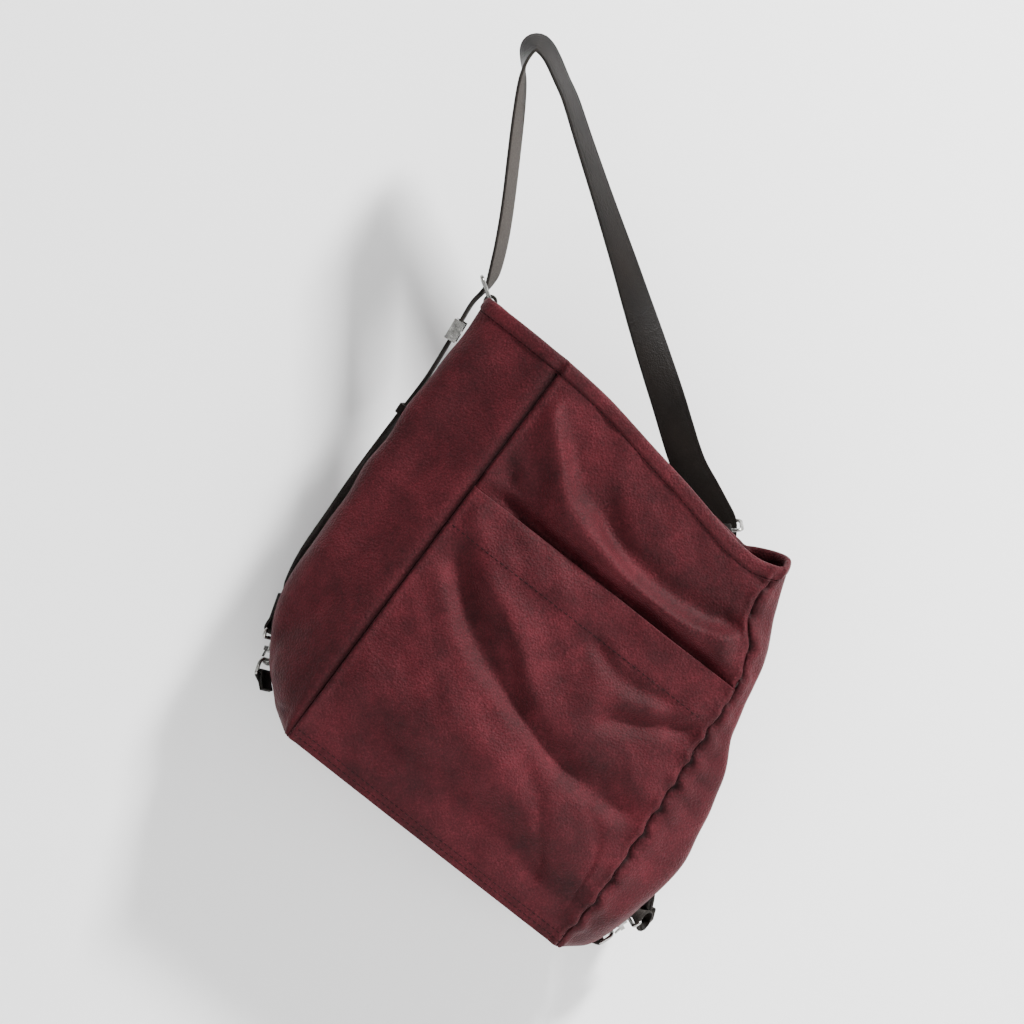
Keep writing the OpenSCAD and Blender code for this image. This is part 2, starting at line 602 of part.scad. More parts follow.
// Rivets through the tails of the tabs and through the strap's folded ends
module rivet(r, h) {
    rotate([0, 90, 0]) {
        cylinder(h = h, r = r * 0.7, center = true);
        for (s = [-1, 1]) translate([0, 0, s * h / 2]) cylinder(h = 1, r = r, center = true);
    }
}
module top_tab_rivets() {
    color(nickel) {
        at_left_bar() translate(left_patch + [9, tab_t + 0.8, 8]) rotate([0, 0, 90]) rivet(3, 1);
        at_right_bar() rotate([0, 0, 90]) rotate([0, -11, 0])
            translate([-tab_loop_r + 0.8, 0, -22]) rivet(3, 1);
    }
}

shoulder_strap();
front_panel();
front_pocket();
back_panel();
left_gusset();
right_gusset();
base_panel();
rim_band();
mouth_facing();
lining();
base_board();
inner_slip_pocket();
zip_pocket();
zip_tape();
zip_teeth();
zip_slider();
zip_pull();
front_snap();
back_snap();
left_top_tab();
right_top_tab();
left_ring();
right_ring();
top_tab_rivets();
left_low_tab();
right_low_tab();
left_d_ring();
right_d_ring();
left_hook();
right_hook();
left_gate();
right_gate();
left_gate_pin();
right_gate_pin();
left_swivel_eye();
right_swivel_eye();
left_strap_run();
right_strap_run();
left_adjuster();
right_adjuster();
left_keeper();
right_keeper();
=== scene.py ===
import bpy
import numpy as np
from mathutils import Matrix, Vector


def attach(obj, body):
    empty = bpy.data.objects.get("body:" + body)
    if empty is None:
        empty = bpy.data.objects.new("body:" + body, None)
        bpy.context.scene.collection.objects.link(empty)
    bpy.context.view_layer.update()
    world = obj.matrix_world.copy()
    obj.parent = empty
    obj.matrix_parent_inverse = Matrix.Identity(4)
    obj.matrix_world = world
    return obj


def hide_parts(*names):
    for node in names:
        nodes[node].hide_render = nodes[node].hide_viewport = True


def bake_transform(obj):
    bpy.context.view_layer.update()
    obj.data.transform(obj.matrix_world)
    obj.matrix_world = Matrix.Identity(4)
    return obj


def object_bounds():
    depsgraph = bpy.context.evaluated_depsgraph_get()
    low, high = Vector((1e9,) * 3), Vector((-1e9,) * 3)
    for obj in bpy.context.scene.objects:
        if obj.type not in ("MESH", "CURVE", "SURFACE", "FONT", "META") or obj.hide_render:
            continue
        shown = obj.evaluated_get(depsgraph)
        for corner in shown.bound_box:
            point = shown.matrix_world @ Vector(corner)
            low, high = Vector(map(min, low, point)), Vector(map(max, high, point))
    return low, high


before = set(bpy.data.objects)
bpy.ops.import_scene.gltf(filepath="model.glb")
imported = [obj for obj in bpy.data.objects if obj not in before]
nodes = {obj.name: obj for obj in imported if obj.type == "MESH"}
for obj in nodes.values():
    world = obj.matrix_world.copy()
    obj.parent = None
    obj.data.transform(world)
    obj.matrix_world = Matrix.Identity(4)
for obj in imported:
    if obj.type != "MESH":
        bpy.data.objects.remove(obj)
cad_low, cad_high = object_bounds()

# Camera, floor, wall and light. The bag hangs by its strap in front of a pale wall, and is seen
# straight on through a long lens.
camera = bpy.data.objects.new("camera", bpy.data.cameras.new("camera"))
bpy.context.scene.collection.objects.link(camera)
bpy.context.scene.camera = camera
VIEW_WIDTH = 0.868
CAMERA_AWAY = 3.2
camera.location = (-0.018, -CAMERA_AWAY, -0.388)
camera.rotation_euler = (np.pi / 2, 0, 0)
camera.data.sensor_width = 36
camera.data.lens = 36 * CAMERA_AWAY / VIEW_WIDTH


def plain_board(name, corners, material):
    """A flat board through four corners."""
    mesh = bpy.data.meshes.new(name)
    mesh.from_pydata(corners, [], [(0, 1, 2, 3)])
    board = bpy.data.objects.new(name, mesh)
    bpy.context.scene.collection.objects.link(board)
    board.data.materials.append(material)
    return board


paint = bpy.data.materials.new("wall_paint")
paint.use_nodes = True
paint_shader = paint.node_tree.nodes["Principled BSDF"]
paint_shader.inputs["Base Color"].default_value = (0.93, 0.93, 0.93, 1)
paint_shader.inputs["Roughness"].default_value = 0.9
wall_back = cad_high.y + 0.025
plain_board("floor", [(-4, -4, -1.0), (4, -4, -1.0), (4, 4, -1.0), (-4, 4, -1.0)], paint)
wall = plain_board("wall", [(-2.5, wall_back, -1.0), (2.5, wall_back, -1.0), (2.5, wall_back, 2.2),
                            (-2.5, wall_back, 2.2)], paint.copy())
wall_tree = wall.data.materials[0].node_tree
facing_away = wall_tree.nodes.new("ShaderNodeNewGeometry")
unseen = wall_tree.nodes.new("ShaderNodeBsdfTransparent")
either = wall_tree.nodes.new("ShaderNodeMixShader")
wall_tree.links.new(facing_away.outputs["Backfacing"], either.inputs["Fac"])
wall_tree.links.new(wall_tree.nodes["Principled BSDF"].outputs["BSDF"], either.inputs[1])
wall_tree.links.new(unseen.outputs["BSDF"], either.inputs[2])
wall_tree.links.new(either.outputs["Shader"], wall_tree.nodes["Material Output"].inputs["Surface"])


def soft_light(name, place, aim, size, power):
    """A square area light that points from place to aim."""
    data = bpy.data.lights.new(name, "AREA")
    data.shape = "SQUARE"
    data.size = size
    data.energy = power
    lamp = bpy.data.objects.new(name, data)
    bpy.context.scene.collection.objects.link(lamp)
    lamp.location = place
    direction = Vector(aim) - Vector(place)
    lamp.rotation_euler = direction.to_track_quat("-Z", "Y").to_euler()
    return lamp


middle = (-0.02, 0, -0.4)
soft_light("key", (2.1, -1.7, 1.9), middle, 0.45, 430)
soft_light("fill", (-1.2, -2.6, 0.0), middle, 1.8, 14)
soft_light("back_fill", (0.9, 2.4, 0.8), middle, 1.6, 85)
world = bpy.data.worlds.new("studio")
bpy.context.scene.world = world
world.use_nodes = True
world.node_tree.nodes["Background"].inputs["Color"].default_value = (1, 1, 1, 1)
world.node_tree.nodes["Background"].inputs["Strength"].default_value = 0.22

# Burgundy leather: a waxed, brushed hide. Two node groups make its grain and its mottling, and
# each leather below uses them with its own values.


def new_group(name, inputs, outputs):
    """A shader node group with named float inputs, given as (name, default), and outputs."""
    group = bpy.data.node_groups.new(name, "ShaderNodeTree")
    for label, value in inputs:
        socket = group.interface.new_socket(label, in_out="INPUT", socket_type="NodeSocketFloat")
        socket.default_value = value
    for label, kind in outputs:
        group.interface.new_socket(label, in_out="OUTPUT", socket_type=kind)
    return group, group.nodes.new("NodeGroupInput"), group.nodes.new("NodeGroupOutput")


def noise(tree, place, scale, detail=4.0, rough=0.6):
    """A noise texture on the given coordinates, as its factor socket."""
    texture = tree.nodes.new("ShaderNodeTexNoise")
    texture.inputs["Detail"].default_value = detail
    texture.inputs["Roughness"].default_value = rough
    tree.links.new(place, texture.inputs["Vector"])
    if isinstance(scale, (int, float)):
        texture.inputs["Scale"].default_value = scale
    else:
        tree.links.new(scale, texture.inputs["Scale"])
    return texture.outputs["Fac"]


def maths(tree, kind, a, b=None, c=None):
    """A Math node of that kind on sockets or numbers, as its output socket."""
    node = tree.nodes.new("ShaderNodeMath")
    node.operation = kind
    for i, value in enumerate((a, b, c)):
        if value is None:
            continue
        if isinstance(value, (int, float)):
            node.inputs[i].default_value = value
        else:
            tree.links.new(value, node.inputs[i])
    return node.outputs[0]


grain_group, grain_in, grain_out = new_group(
    "leather_grain", [("Pebble Scale", 520.0), ("Crease Depth", 0.5)], [("Height", "NodeSocketFloat")])
place = grain_group.nodes.new("ShaderNodeTexCoord").outputs["Object"]
pebble = grain_group.nodes.new("ShaderNodeTexVoronoi")
pebble.feature = "SMOOTH_F1"
pebble.inputs["Smoothness"].default_value = 0.6
grain_group.links.new(place, pebble.inputs["Vector"])
grain_group.links.new(grain_in.outputs["Pebble Scale"], pebble.inputs["Scale"])
fine = noise(grain_group, place, 1500.0, 3.0)
broad = noise(grain_group, place, 120.0, 5.0, 0.65)
height = maths(grain_group, "MULTIPLY_ADD", fine, 0.35, pebble.outputs["Distance"])
height = maths(grain_group, "MULTIPLY_ADD", broad, grain_in.outputs["Crease Depth"], height)
grain_group.links.new(height, grain_out.inputs["Height"])

mottle_group, mottle_in, mottle_out = new_group(
    "leather_mottle", [("Patch Scale", 14.0), ("Nap Scale", 620.0)],
    [("Patches", "NodeSocketFloat"), ("Nap", "NodeSocketFloat")])
place = mottle_group.nodes.new("ShaderNodeTexCoord").outputs["Object"]
patches = noise(mottle_group, place, mottle_in.outputs["Patch Scale"], 5.0, 0.58)
cloudy = noise(mottle_group, place, 46.0, 6.0, 0.7)
patches = maths(mottle_group, "MULTIPLY_ADD", cloudy, 0.5, maths(mottle_group, "MULTIPLY", patches, 0.5))
mottle_group.links.new(patches, mottle_out.inputs["Patches"])
mottle_group.links.new(noise(mottle_group, place, mottle_in.outputs["Nap Scale"], 3.0, 0.8),
                       mottle_out.inputs["Nap"])


def use_group(tree, group, **values):
    """Places a node group in a material with its own values, underscores for spaces."""
    node = tree.nodes.new("ShaderNodeGroup")
    node.node_tree = group
    for label, value in values.items():
        node.inputs[label.replace("_", " ")].default_value = value
    return node


def ramp(tree, factor, stops):
    """A colour ramp through (position, colour) stops, as its colour socket."""
    node = tree.nodes.new("ShaderNodeValToRGB")
    node.color_ramp.elements[0].position = stops[0][0]
    node.color_ramp.elements[0].color = (*stops[0][1], 1)
    node.color_ramp.elements[1].position = stops[-1][0]
    node.color_ramp.elements[1].color = (*stops[-1][1], 1)
    for position, colour in stops[1:-1]:
        node.color_ramp.elements.new(position).color = (*colour, 1)
    tree.links.new(factor, node.inputs["Fac"])
    return node.outputs["Color"]


def bump(tree, height, distance, strength=1.0):
    """A bump node over a height socket, as its normal socket."""
    node = tree.nodes.new("ShaderNodeBump")
    node.inputs["Distance"].default_value = distance
    node.inputs["Strength"].default_value = strength
    tree.links.new(height, node.inputs["Height"])
    return node.outputs["Normal"]


def mix_colour(tree, factor, first, second):
    """A colour between two, by a factor."""
    node = tree.nodes.new("ShaderNodeMix")
    node.data_type = "RGBA"
    for value, label in ((factor, "Factor_Float"), (first, "A_Color"), (second, "B_Color")):
        socket = next(s for s in node.inputs if s.identifier == label)
        tree.links.new(value, socket)
    return next(s for s in node.outputs if s.identifier == "Result_Color")


def leather(name, dark, middle_tone, light, roughness, sheen, pebbles, grain_depth):
    """Leather with mottled colour between three tones, a napped surface, a pebble grain and painted shade,
    near black, in the seam grooves.
    """
    material = bpy.data.materials.new(name)
    material.use_nodes = True
    tree = material.node_tree
    shader = tree.nodes["Principled BSDF"]
    mottle = use_group(tree, mottle_group)
    grain = use_group(tree, grain_group, Pebble_Scale=pebbles)
    tone = maths(tree, "MULTIPLY", mottle.outputs["Patches"], 0.56)
    tone = maths(tree, "MULTIPLY_ADD", mottle.outputs["Nap"], 0.44, tone)
    toned = ramp(tree, tone, [(0.38, dark), (0.5, middle_tone), (0.62, light)])
    # Painted shade: where the crevice attribute marks a seam groove, the colour turns near black.
    seam = tree.nodes.new("ShaderNodeAttribute")
    seam.attribute_name = "crevice"
    painted_seam_shade = ramp(tree, mottle.outputs["Nap"],
                  [(0.3, (0.002, 0.0004, 0.0005)), (0.7, (0.005, 0.0008, 0.001))])
    tree.links.new(mix_colour(tree, seam.outputs["Fac"], toned, painted_seam_shade), shader.inputs["Base Color"])
    tree.links.new(maths(tree, "MULTIPLY_ADD", mottle.outputs["Patches"], 0.24, roughness - 0.12),
                   shader.inputs["Roughness"])
    tree.links.new(bump(tree, grain.outputs["Height"], grain_depth), shader.inputs["Normal"])
    shader.inputs["Sheen Weight"].default_value = sheen
    shader.inputs["Sheen Roughness"].default_value = 0.45
    shader.inputs["Sheen Tint"].default_value = (0.9, 0.3, 0.35, 1)
    shader.inputs["Specular IOR Level"].default_value = 0.12
    return material


burgundy = leather("burgundy_leather", (0.013, 0.0013, 0.0022), (0.033, 0.0032, 0.0052),
                   (0.066, 0.0078, 0.0120), 0.66, 0.05, 520.0, 0.0006)

# The bag's walls: four leather panels sewn into a tube that leans as it hangs. A point of the
# outer wall follows from its side, its place along that side and its height fraction. The folds,
# the sunk seams and the puckers at the right front seam are a relief on that wall.
TILT = np.radians(38)
BASE_AT = np.array([-95.0, 0.0, -667.0])


def to_frame(points):
    """Bag frame in millimetres to row frame in metres: a turn about Y by the tilt, then a shift."""
    x, y, z = points[..., 0], points[..., 1], points[..., 2]
    c, s = np.cos(TILT), np.sin(TILT)
    turned = np.stack([x * c + z * s, y, z * c - x * s], -1)
    return (turned + BASE_AT) / 1000


def smooth(k, pairs):
    """Smooth curve through (position, value) pairs: a cubic Hermite with central slopes."""
    at = np.array([p[0] for p in pairs], float)
    value = np.array([p[1] for p in pairs], float)
    i = np.clip(np.searchsorted(at, k, side="right") - 1, 0, len(at) - 2)
    low, high = np.maximum(np.arange(len(at)) - 1, 0), np.minimum(np.arange(len(at)) + 1, len(at) - 1)
    slope = (value[high] - value[low]) / (at[high] - at[low])
    h = at[i + 1] - at[i]
    u = (k - at[i]) / h
    return (value[i] * (2 * u**3 - 3 * u**2 + 1) + slope[i] * h * (u**3 - 2 * u**2 + u)
            + value[i + 1] * (3 * u**2 - 2 * u**3) + slope[i + 1] * h * (u**3 - u**2))


def ease(u):
    """Smooth step from 0 to 1."""
    u = np.clip(u, 0, 1)
    return u * u * (3 - 2 * u)


FRONT_LEFT_X = [(0, -145), (1, -153)]
FRONT_RIGHT_X = [(0, 145), (0.15, 147), (0.43, 139), (0.6, 133), (0.71, 130), (0.8, 118), (0.88, 98),
                 (1, 96)]
BACK_LEFT_X = [(0, -148), (0.03, -160), (0.1, -180), (0.2, -196), (0.3, -205), (0.5, -215), (0.75, -219),
               (1, -222)]
BACK_RIGHT_X = [(0, 150), (0.04, 154), (0.15, 158), (0.3, 148), (0.5, 130), (0.75, 98), (1, 62)]
LEFT_OUT = [(0, 4), (0.03, 18), (0.1, 33), (0.2, 46), (0.3, 47), (0.5, 43), (1, 44)]
RIGHT_OUT = [(0, 4), (0.04, 18), (0.15, 30), (0.3, 43), (0.5, 38), (0.62, 26), (0.73, 22), (0.85, 28),
             (1, 16)]
HALF_DEPTH = [(0, 42), (0.15, 42), (0.3, 38), (0.5, 32), (0.75, 27), (1, 24)]
FRONT_OUT = [(0, 2), (0.1, 10), (0.3, 14), (0.5, 10), (0.7, 6), (1, 1)]
BACK_OUT = [(0, 1), (0.2, 6), (0.6, 4), (1, 1)]
FRONT_RIM_Z = [(0, 396), (0.22, 391), (0.55, 377), (0.8, 365), (0.92, 364), (1, 370)]
MOUTH_MIDDLE_Y = -22
LEANS_BACK = 60
RIGHT_BACK_Z = 368
LEFT_BACK_Z = 400
RIGHT_RIM_HUMP = 13
POCKET_Z = 265
RIM_H = 15


def rim_z(side, s):
    """Height of the mouth on a side, at the fraction s along it, going round from the front left."""
    left_front_z, right_front_z = FRONT_RIM_Z[0][1], FRONT_RIM_Z[-1][1]
    if side == "front":
        return smooth(s, FRONT_RIM_Z)
    if side == "right":
        return right_front_z + (RIGHT_BACK_Z - right_front_z) * s + RIGHT_RIM_HUMP * 4 * s * (1 - s)
    if side == "back":
        return RIGHT_BACK_Z + (LEFT_BACK_Z - RIGHT_BACK_Z) * s
    return LEFT_BACK_Z + (left_front_z - LEFT_BACK_Z) * s


def wall_point(side, s, h):
    """Outer wall in the bag frame: a line between two seams, bowed outwards by 4s(1-s)."""
    middle_y = MOUTH_MIDDLE_Y + LEANS_BACK * (1 - h)
    front_y, back_y = middle_y - smooth(h, HALF_DEPTH), middle_y + smooth(h, HALF_DEPTH)
    fl, fr = smooth(h, FRONT_LEFT_X), smooth(h, FRONT_RIGHT_X)
    bl, br = smooth(h, BACK_LEFT_X), smooth(h, BACK_RIGHT_X)
    swell = 4 * s * (1 - s)
    if side == "front":
        x, y = fl + (fr - fl) * s, front_y - smooth(h, FRONT_OUT) * swell
    elif side == "right":
        x, y = fr + (br - fr) * s + smooth(h, RIGHT_OUT) * swell, front_y + (back_y - front_y) * s
    elif side == "back":
        x, y = br + (bl - br) * s, back_y + smooth(h, BACK_OUT) * swell
    else:
        x, y = bl + (fl - bl) * s - smooth(h, LEFT_OUT) * swell, back_y + (front_y - back_y) * s
    return np.stack([x, y, rim_z(side, s) * h], -1)


# Columns round the bag on each side. Rows are numbered from the base (0) to the pocket's mouth
# (1), the rim band's lower edge (2) and the rim (3)
COLUMNS = {"front": 168, "right": 56, "back": 110, "left": 60}


def crowded(n, pull=0.55):
    """n steps from 0 to 1, closer together at both ends."""
    u = np.linspace(0, 1, n)
    return u - pull * np.sin(2 * np.pi * u) / (2 * np.pi)


def fold(along, across, route, amount, half_width, skew=0.0):
    """A soft ridge (or, below zero, a valley) along a route of (along, across) points. Its height
    is a bell across the route, skewed to one side, and it fades out over both ends."""
    ends = route[0][0], route[-1][0]
    off = across - smooth(np.clip(along, *ends), route)
    run = (along - ends[0]) / (ends[1] - ends[0])
    fade = ease(run * 4 + 0.6) * ease((1 - run) * 4 + 0.6)
    w = half_width * (1 + skew * np.tanh(off / half_width))
    return amount * fade * np.exp(-(off / w) ** 2)


def ripple(x, z, seed, size, amount):
    """Low uneven waves: a sum of eight sines of random direction and phase, about size apart."""
    chance = np.random.default_rng(seed)
    total = np.zeros_like(x)
    for _ in range(8):
        angle, phase = chance.uniform(0, 2 * np.pi, 2)
        length = size * chance.uniform(0.7, 1.5)
        total = total + np.sin((x * np.cos(angle) + z * np.sin(angle)) * 2 * np.pi / length + phase)
    return amount * total / 2.8


def front_relief(x, z):
    """How far the front stands proud of its plain form: the drape under the mouth, the slanting
    folds over the pocket and the belly that turns under at the base."""
    drape = [(-135, 352), (-111, 333), (-91, 313), (-71, 298), (-26, 285), (23, 281), (73, 286), (125, 302)]
    out = fold(x, z, drape, 8.0, 15, -0.35)
    out += fold(x, z, [(-60, 318), (-26, 301), (5, 293), (40, 292), (75, 298), (110, 316)], -6.5, 11, 0.5)
    out += fold(x, z, [(-148, 296), (-128, 284), (-95, 277), (-40, 272), (40, 271)], -5.5, 13)
    slant = [(-128, 206), (-96, 181), (-61, 160), (-26, 149), (11, 138), (73, 125), (140, 130)]
    out += fold(x, z, slant, -7.0, 15, 0.3)
    out += fold(x, z, [(-100, 214), (-60, 198), (-34, 184), (-11, 163), (15, 150), (70, 146)], 6.0, 15, 0.2)
    out += fold(x, z, [(10, 224), (48, 214), (100, 221)], -3.2, 8)
    out += fold(x, z, [(55, 178), (80, 190), (100, 203), (134, 224)], -4.6, 10)
    out += fold(x, z, [(50, 196), (90, 214), (130, 236)], 3.0, 10)
    out += fold(x, z, [(30, 190), (75, 168), (120, 160), (142, 166)], 3.6, 20)
    out += fold(x, z, [(-150, 252), (-110, 236), (-70, 234), (-30, 240)], 2.6, 14)
    out += fold(x, z, [(-60, 110), (-10, 100), (50, 82), (120, 60)], 3.0, 20)
    out += fold(x, z, [(30, 104), (60, 84), (82, 60), (95, 40)], -2.4, 9)
    out += fold(x, z, [(95, 110), (118, 90), (128, 64), (131, 40)], -1.6, 9)
    out += fold(x, z, [(-150, 38), (-60, 46), (20, 50), (145, 40)], -4.0, 22)
    out += fold(x, z, [(-150, 78), (0, 84), (145, 80)], 3.0, 24)
    return 1.3 * out + ripple(x, z, 3, 62, 0.9) + ripple(x, z, 7, 24, 0.28)


def side_relief(side, from_front, z):
    """The same for the gussets, by distance from the front seam, and the back, from the right."""
    if side == "left":
        out = fold(z, from_front, [(120, 34), (220, 46), (300, 44), (372, 30)], 3.2, 15)
        out += fold(z, from_front, [(40, 30), (150, 22), (260, 20), (350, 16)], -2.6, 11)
        out += fold(z, from_front, [(10, 55), (60, 40), (110, 16)], -2.6, 9)
        out += fold(from_front, z, [(8, 19), (22, 14), (38, 14)], -3.0, 1.8)
        return out + ripple(from_front, z, 11, 55, 1.1)
    if side == "right":
        out = fold(z, from_front, [(40, 16), (120, 24), (200, 18), (262, 10)], 3.0, 10)
        out += fold(z, from_front, [(60, 46), (140, 48), (230, 36)], -2.4, 12)
        out += fold(z, from_front, [(262, 8), (300, 26), (336, 40)], 1.2, 8)
        return out + ripple(from_front, z, 12, 46, 0.7)
    out = fold(z, from_front, [(60, 90), (170, 120), (300, 130)], 2.5, 30)
    out += fold(z, from_front, [(30, 190), (140, 200), (280, 190)], -3.5, 26)
    out += fold(z, from_front, [(20, 260), (150, 250), (320, 240)], 3.0, 24)
    out += ripple(from_front, z, 13, 70, 1.0) + ripple(from_front, z, 14, 30, 0.4)
    return out - np.maximum(out, 0) * ease((z - 150) / 80)


def behind_pocket(s, z):
    """How much deeper the front panel lies where the pocket covers it."""
    side = ease(s * 8) * ease((1 - s) * 8)
    return ease((POCKET_Z + 17 - z) / 15) * (2.5 + 8 * side * ease(z / 50))


def height_at(side, s, k):
    """Height of row k: 0 base, 1 pocket's mouth, 2 lower edge of the rim band, 3 rim."""
    rim = rim_z(side, s)
    low = POCKET_Z * np.minimum(k, 1)
    body = (rim - RIM_H - POCKET_Z) * np.clip(k - 1, 0, 1)
    return low + body + RIM_H * np.clip(k - 2, 0, 1)


class Walls:
    """The outer wall on rows k, all round the bag: points, mitred normals, the relief that
    stands out along them, and the extra depth of what lies behind the pocket."""

    def __init__(self, k, coarse=1):
        parts, relief, behind, seams = [], [], [], []
        self.first = {}
        k = np.asarray(k, float)[:, None]
        for side in ("front", "right", "back", "left"):
            self.first[side] = sum(p.shape[1] for p in parts)
            s = np.broadcast_to(crowded(COLUMNS[side] // coarse + 1)[:-1], (len(k), COLUMNS[side] // coarse))
            z = height_at(side, s, k)
            points = wall_point(side, s, z / rim_z(side, s))
            ends = wall_point(side, np.zeros_like(s), z / rim_z(side, s)), wall_point(
                side, np.ones_like(s), z / rim_z(side, s))
            width = np.linalg.norm((ends[1] - ends[0])[..., :2], axis=-1)
            if side == "front":
                lift = front_relief(points[..., 0], z)
                behind.append(behind_pocket(s, z))
            else:
                from_front = (1 - s) * width if side == "left" else s * width
                lift = side_relief(side, from_front, z)
                behind.append(np.zeros_like(z))
            wobble = 0.8 * np.sin(z * 2 * np.pi / 23 + np.sin(z / 37)) + 0.3 * np.sin(z / 1.9)
            wobble = wobble * np.clip(z / 20, 0, 1)
            lean = {"front": (s > 0.5) * 1.0, "right": (s < 0.5) * -1.0}.get(side, 0)
            seam = np.minimum(s, 1 - s) * width
            groove = np.abs(seam + lean * wobble)
            lift = lift * ease(seam / 26 + 0.1) * ease((z - 2) / 30 + 0.1)
            pucker = {"front": s > 0.5, "right": s < 0.5}.get(side, False)
            wave = np.sin(z * 2 * np.pi / 27 + 2 * np.sin(z / 31)) * np.exp(-(seam / 12) ** 2)
            lift = lift + pucker * 1.5 * wave
            lift = lift - 4.2 * np.exp(-(groove / 1.4) ** 2) + 1.2 * np.exp(-((groove - 4.6) / 3.2) ** 2)
            parts.append(points)
            relief.append(lift)
            seams.append(groove)
        self.points = np.concatenate(parts, 1)
        self.relief = np.concatenate(relief, 1)
        # How deep in a seam groove each point lies; the leather paints shade there from it.
        self.crevice = np.exp(-(np.concatenate(seams, 1) / 1.3) ** 2)
        self.behind = np.concatenate(behind, 1)
        along = np.roll(self.points, -1, 1) - np.roll(self.points, 1, 1)
        self.up = np.gradient(self.points, axis=0) if len(k) > 1 else np.zeros_like(along) + (0, 0, 1)
        normal = np.cross(along, self.up)
        self.normal = normal / np.linalg.norm(normal, axis=-1, keepdims=True)

    def at(self, depth, side=None, under_pocket=False):
        """Grid of points at a depth below the outer face, on one side or all round."""
        deep = depth + (self.behind if under_pocket else 0) - self.relief
        points = self.points - self.normal * deep[..., None]
        return points if side is None else self.on(side, points)

    def on(self, side, grid):
        """The columns of a grid that lie on one side, with the next side's first column."""
        order = list(self.first) + ["end"]
        stop = {**self.first, "end": grid.shape[1]}[order[order.index(side) + 1]]
        return np.take(grid, np.arange(self.first[side], stop + 1), axis=1, mode="wrap")


def quads(a, b, c, d):
    """Faces from four arrays of corner numbers."""
    return np.stack([a, b, c, d], -1).reshape(-1, 4)


def raw_solid(name, points, faces, material):
    """A smooth-shaded object from row-frame points in metres and faces."""
    mesh = bpy.data.meshes.new(name)
    mesh.from_pydata(points.tolist(), [], faces.tolist())
    mesh.polygons.foreach_set("use_smooth", np.ones(len(mesh.polygons), bool))
    mesh.update()
    piece = bpy.data.objects.new(name, mesh)
    bpy.context.scene.collection.objects.link(piece)
    piece.data.materials.append(material)
    return piece


def shell(name, outer, inner, material, ring=False):
    """A closed shell between two grids of bag-frame points, walled over at its edges."""
    rows, cols = outer.shape[:2]
    a = np.arange(rows * cols).reshape(rows, cols)
    if ring:
        a = np.concatenate([a, a[:, :1]], 1)
    b = a + rows * cols
    faces = [quads(a[:-1, :-1], a[:-1, 1:], a[1:, 1:], a[1:, :-1]),
             quads(b[:-1, :-1], b[1:, :-1], b[1:, 1:], b[:-1, 1:]),
             quads(a[0, 1:], a[0, :-1], b[0, :-1], b[0, 1:]),
             quads(a[-1, :-1], a[-1, 1:], b[-1, 1:], b[-1, :-1])]
    if not ring:
        faces += [quads(a[:-1, 0], a[1:, 0], b[1:, 0], b[:-1, 0]),
                  quads(a[1:, -1], a[:-1, -1], b[:-1, -1], b[1:, -1])]
    points = np.concatenate([outer.reshape(-1, 3), inner.reshape(-1, 3)])
    return raw_solid(name, to_frame(points), np.concatenate(faces), material)


def point_values(piece, name, values):
    """Stores one number a point, such as how deep in a seam it is, for the material to read."""
    layer = piece.data.attributes.new(name, "FLOAT", "POINT")
    layer.data.foreach_set("value", np.asarray(values, np.float32).ravel())
    return piece


def sewn(piece, slot, *cad_nodes):
    """A piece of the bag itself: it rides on the bag and stands for these CAD nodes."""
    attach(piece, "bag")
    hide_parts(*cad_nodes)
    return piece


LEATHER_T = 2.0
BASE_EDGE = 0.004
body_rows = np.concatenate([
    np.linspace(BASE_EDGE, 0.9, 120), np.linspace(0.9, 1.2, 34)[1:], np.linspace(1.2, 2.06, 46)[1:]])
walls = Walls(body_rows)
for side, node in (("front", "front_panel"), ("right", "right_gusset"), ("back", "back_panel"),
                   ("left", "left_gusset")):
    piece = shell(node + "_leather", walls.at(0, side, True), walls.at(LEATHER_T, side, True), burgundy)
    # The crevice values let the leather paint near-black shade into its seam grooves.
    point_values(piece, "crevice", np.stack([walls.on(side, walls.crevice)] * 2))
    sewn(piece, "burgundy_leather", node)

# Front pocket: a leather panel over the lower two thirds, caught in the side and base seams,
# its mouth turned over into a 40 mm hem. Made as a second layer of the wall, of even thickness.
pocket = Walls(np.concatenate([np.linspace(0.002, 0.9, 124), np.linspace(0.9, 1.0, 26)[1:]]))
front_pocket = shell("front_pocket_leather", pocket.at(-0.6, "front"),
                     pocket.at(LEATHER_T - 0.4, "front"), burgundy)
# The crevice values let the leather paint near-black shade into the pocket's seam grooves.
point_values(front_pocket, "crevice", np.stack([pocket.on("front", pocket.crevice)] * 2))
sewn(front_pocket, "burgundy_leather", "front_pocket")

# Base: one leather panel across the bottom, sewn to the four walls round its edge. Made as a
# layer whose rows go from the front seam to the back seam.
across_base = np.linspace(0, 1, 30)[:, None]
along_base = np.broadcast_to(crowded(101), (30, 101))


def base_layer(inset, z):
    """Bag-frame grid over the bottom at height z, kept inset from the walls' outer faces."""
    front = wall_point("front", along_base, np.full_like(along_base, BASE_EDGE))
    back = wall_point("back", 1 - along_base, np.full_like(along_base, BASE_EDGE))
    points = front + (back - front) * across_base[..., None]
    bow = 4 * across_base * (1 - across_base) * 4 * (2 * along_base - 1)
    centre = points.mean(axis=(0, 1))
    points = points + np.stack([bow, 0 * bow, 0 * bow], -1)
    shrink = 1 - inset / np.array([145.0, 42.0, 1.0])
    points = centre + (points - centre) * shrink
    points[..., 2] = z
    return points


flat = base_layer(0.7, 0.4)
flat[..., 2] += 0.5 * np.sin(flat[..., 0] / 23) * np.sin(flat[..., 1] / 17 + 1) ** 2
raised = flat + np.array([0, 0, LEATHER_T])
base_panel = shell("base_panel_leather", flat[::-1], raised[::-1], burgundy)
sewn(base_panel, "burgundy_leather", "base_panel")

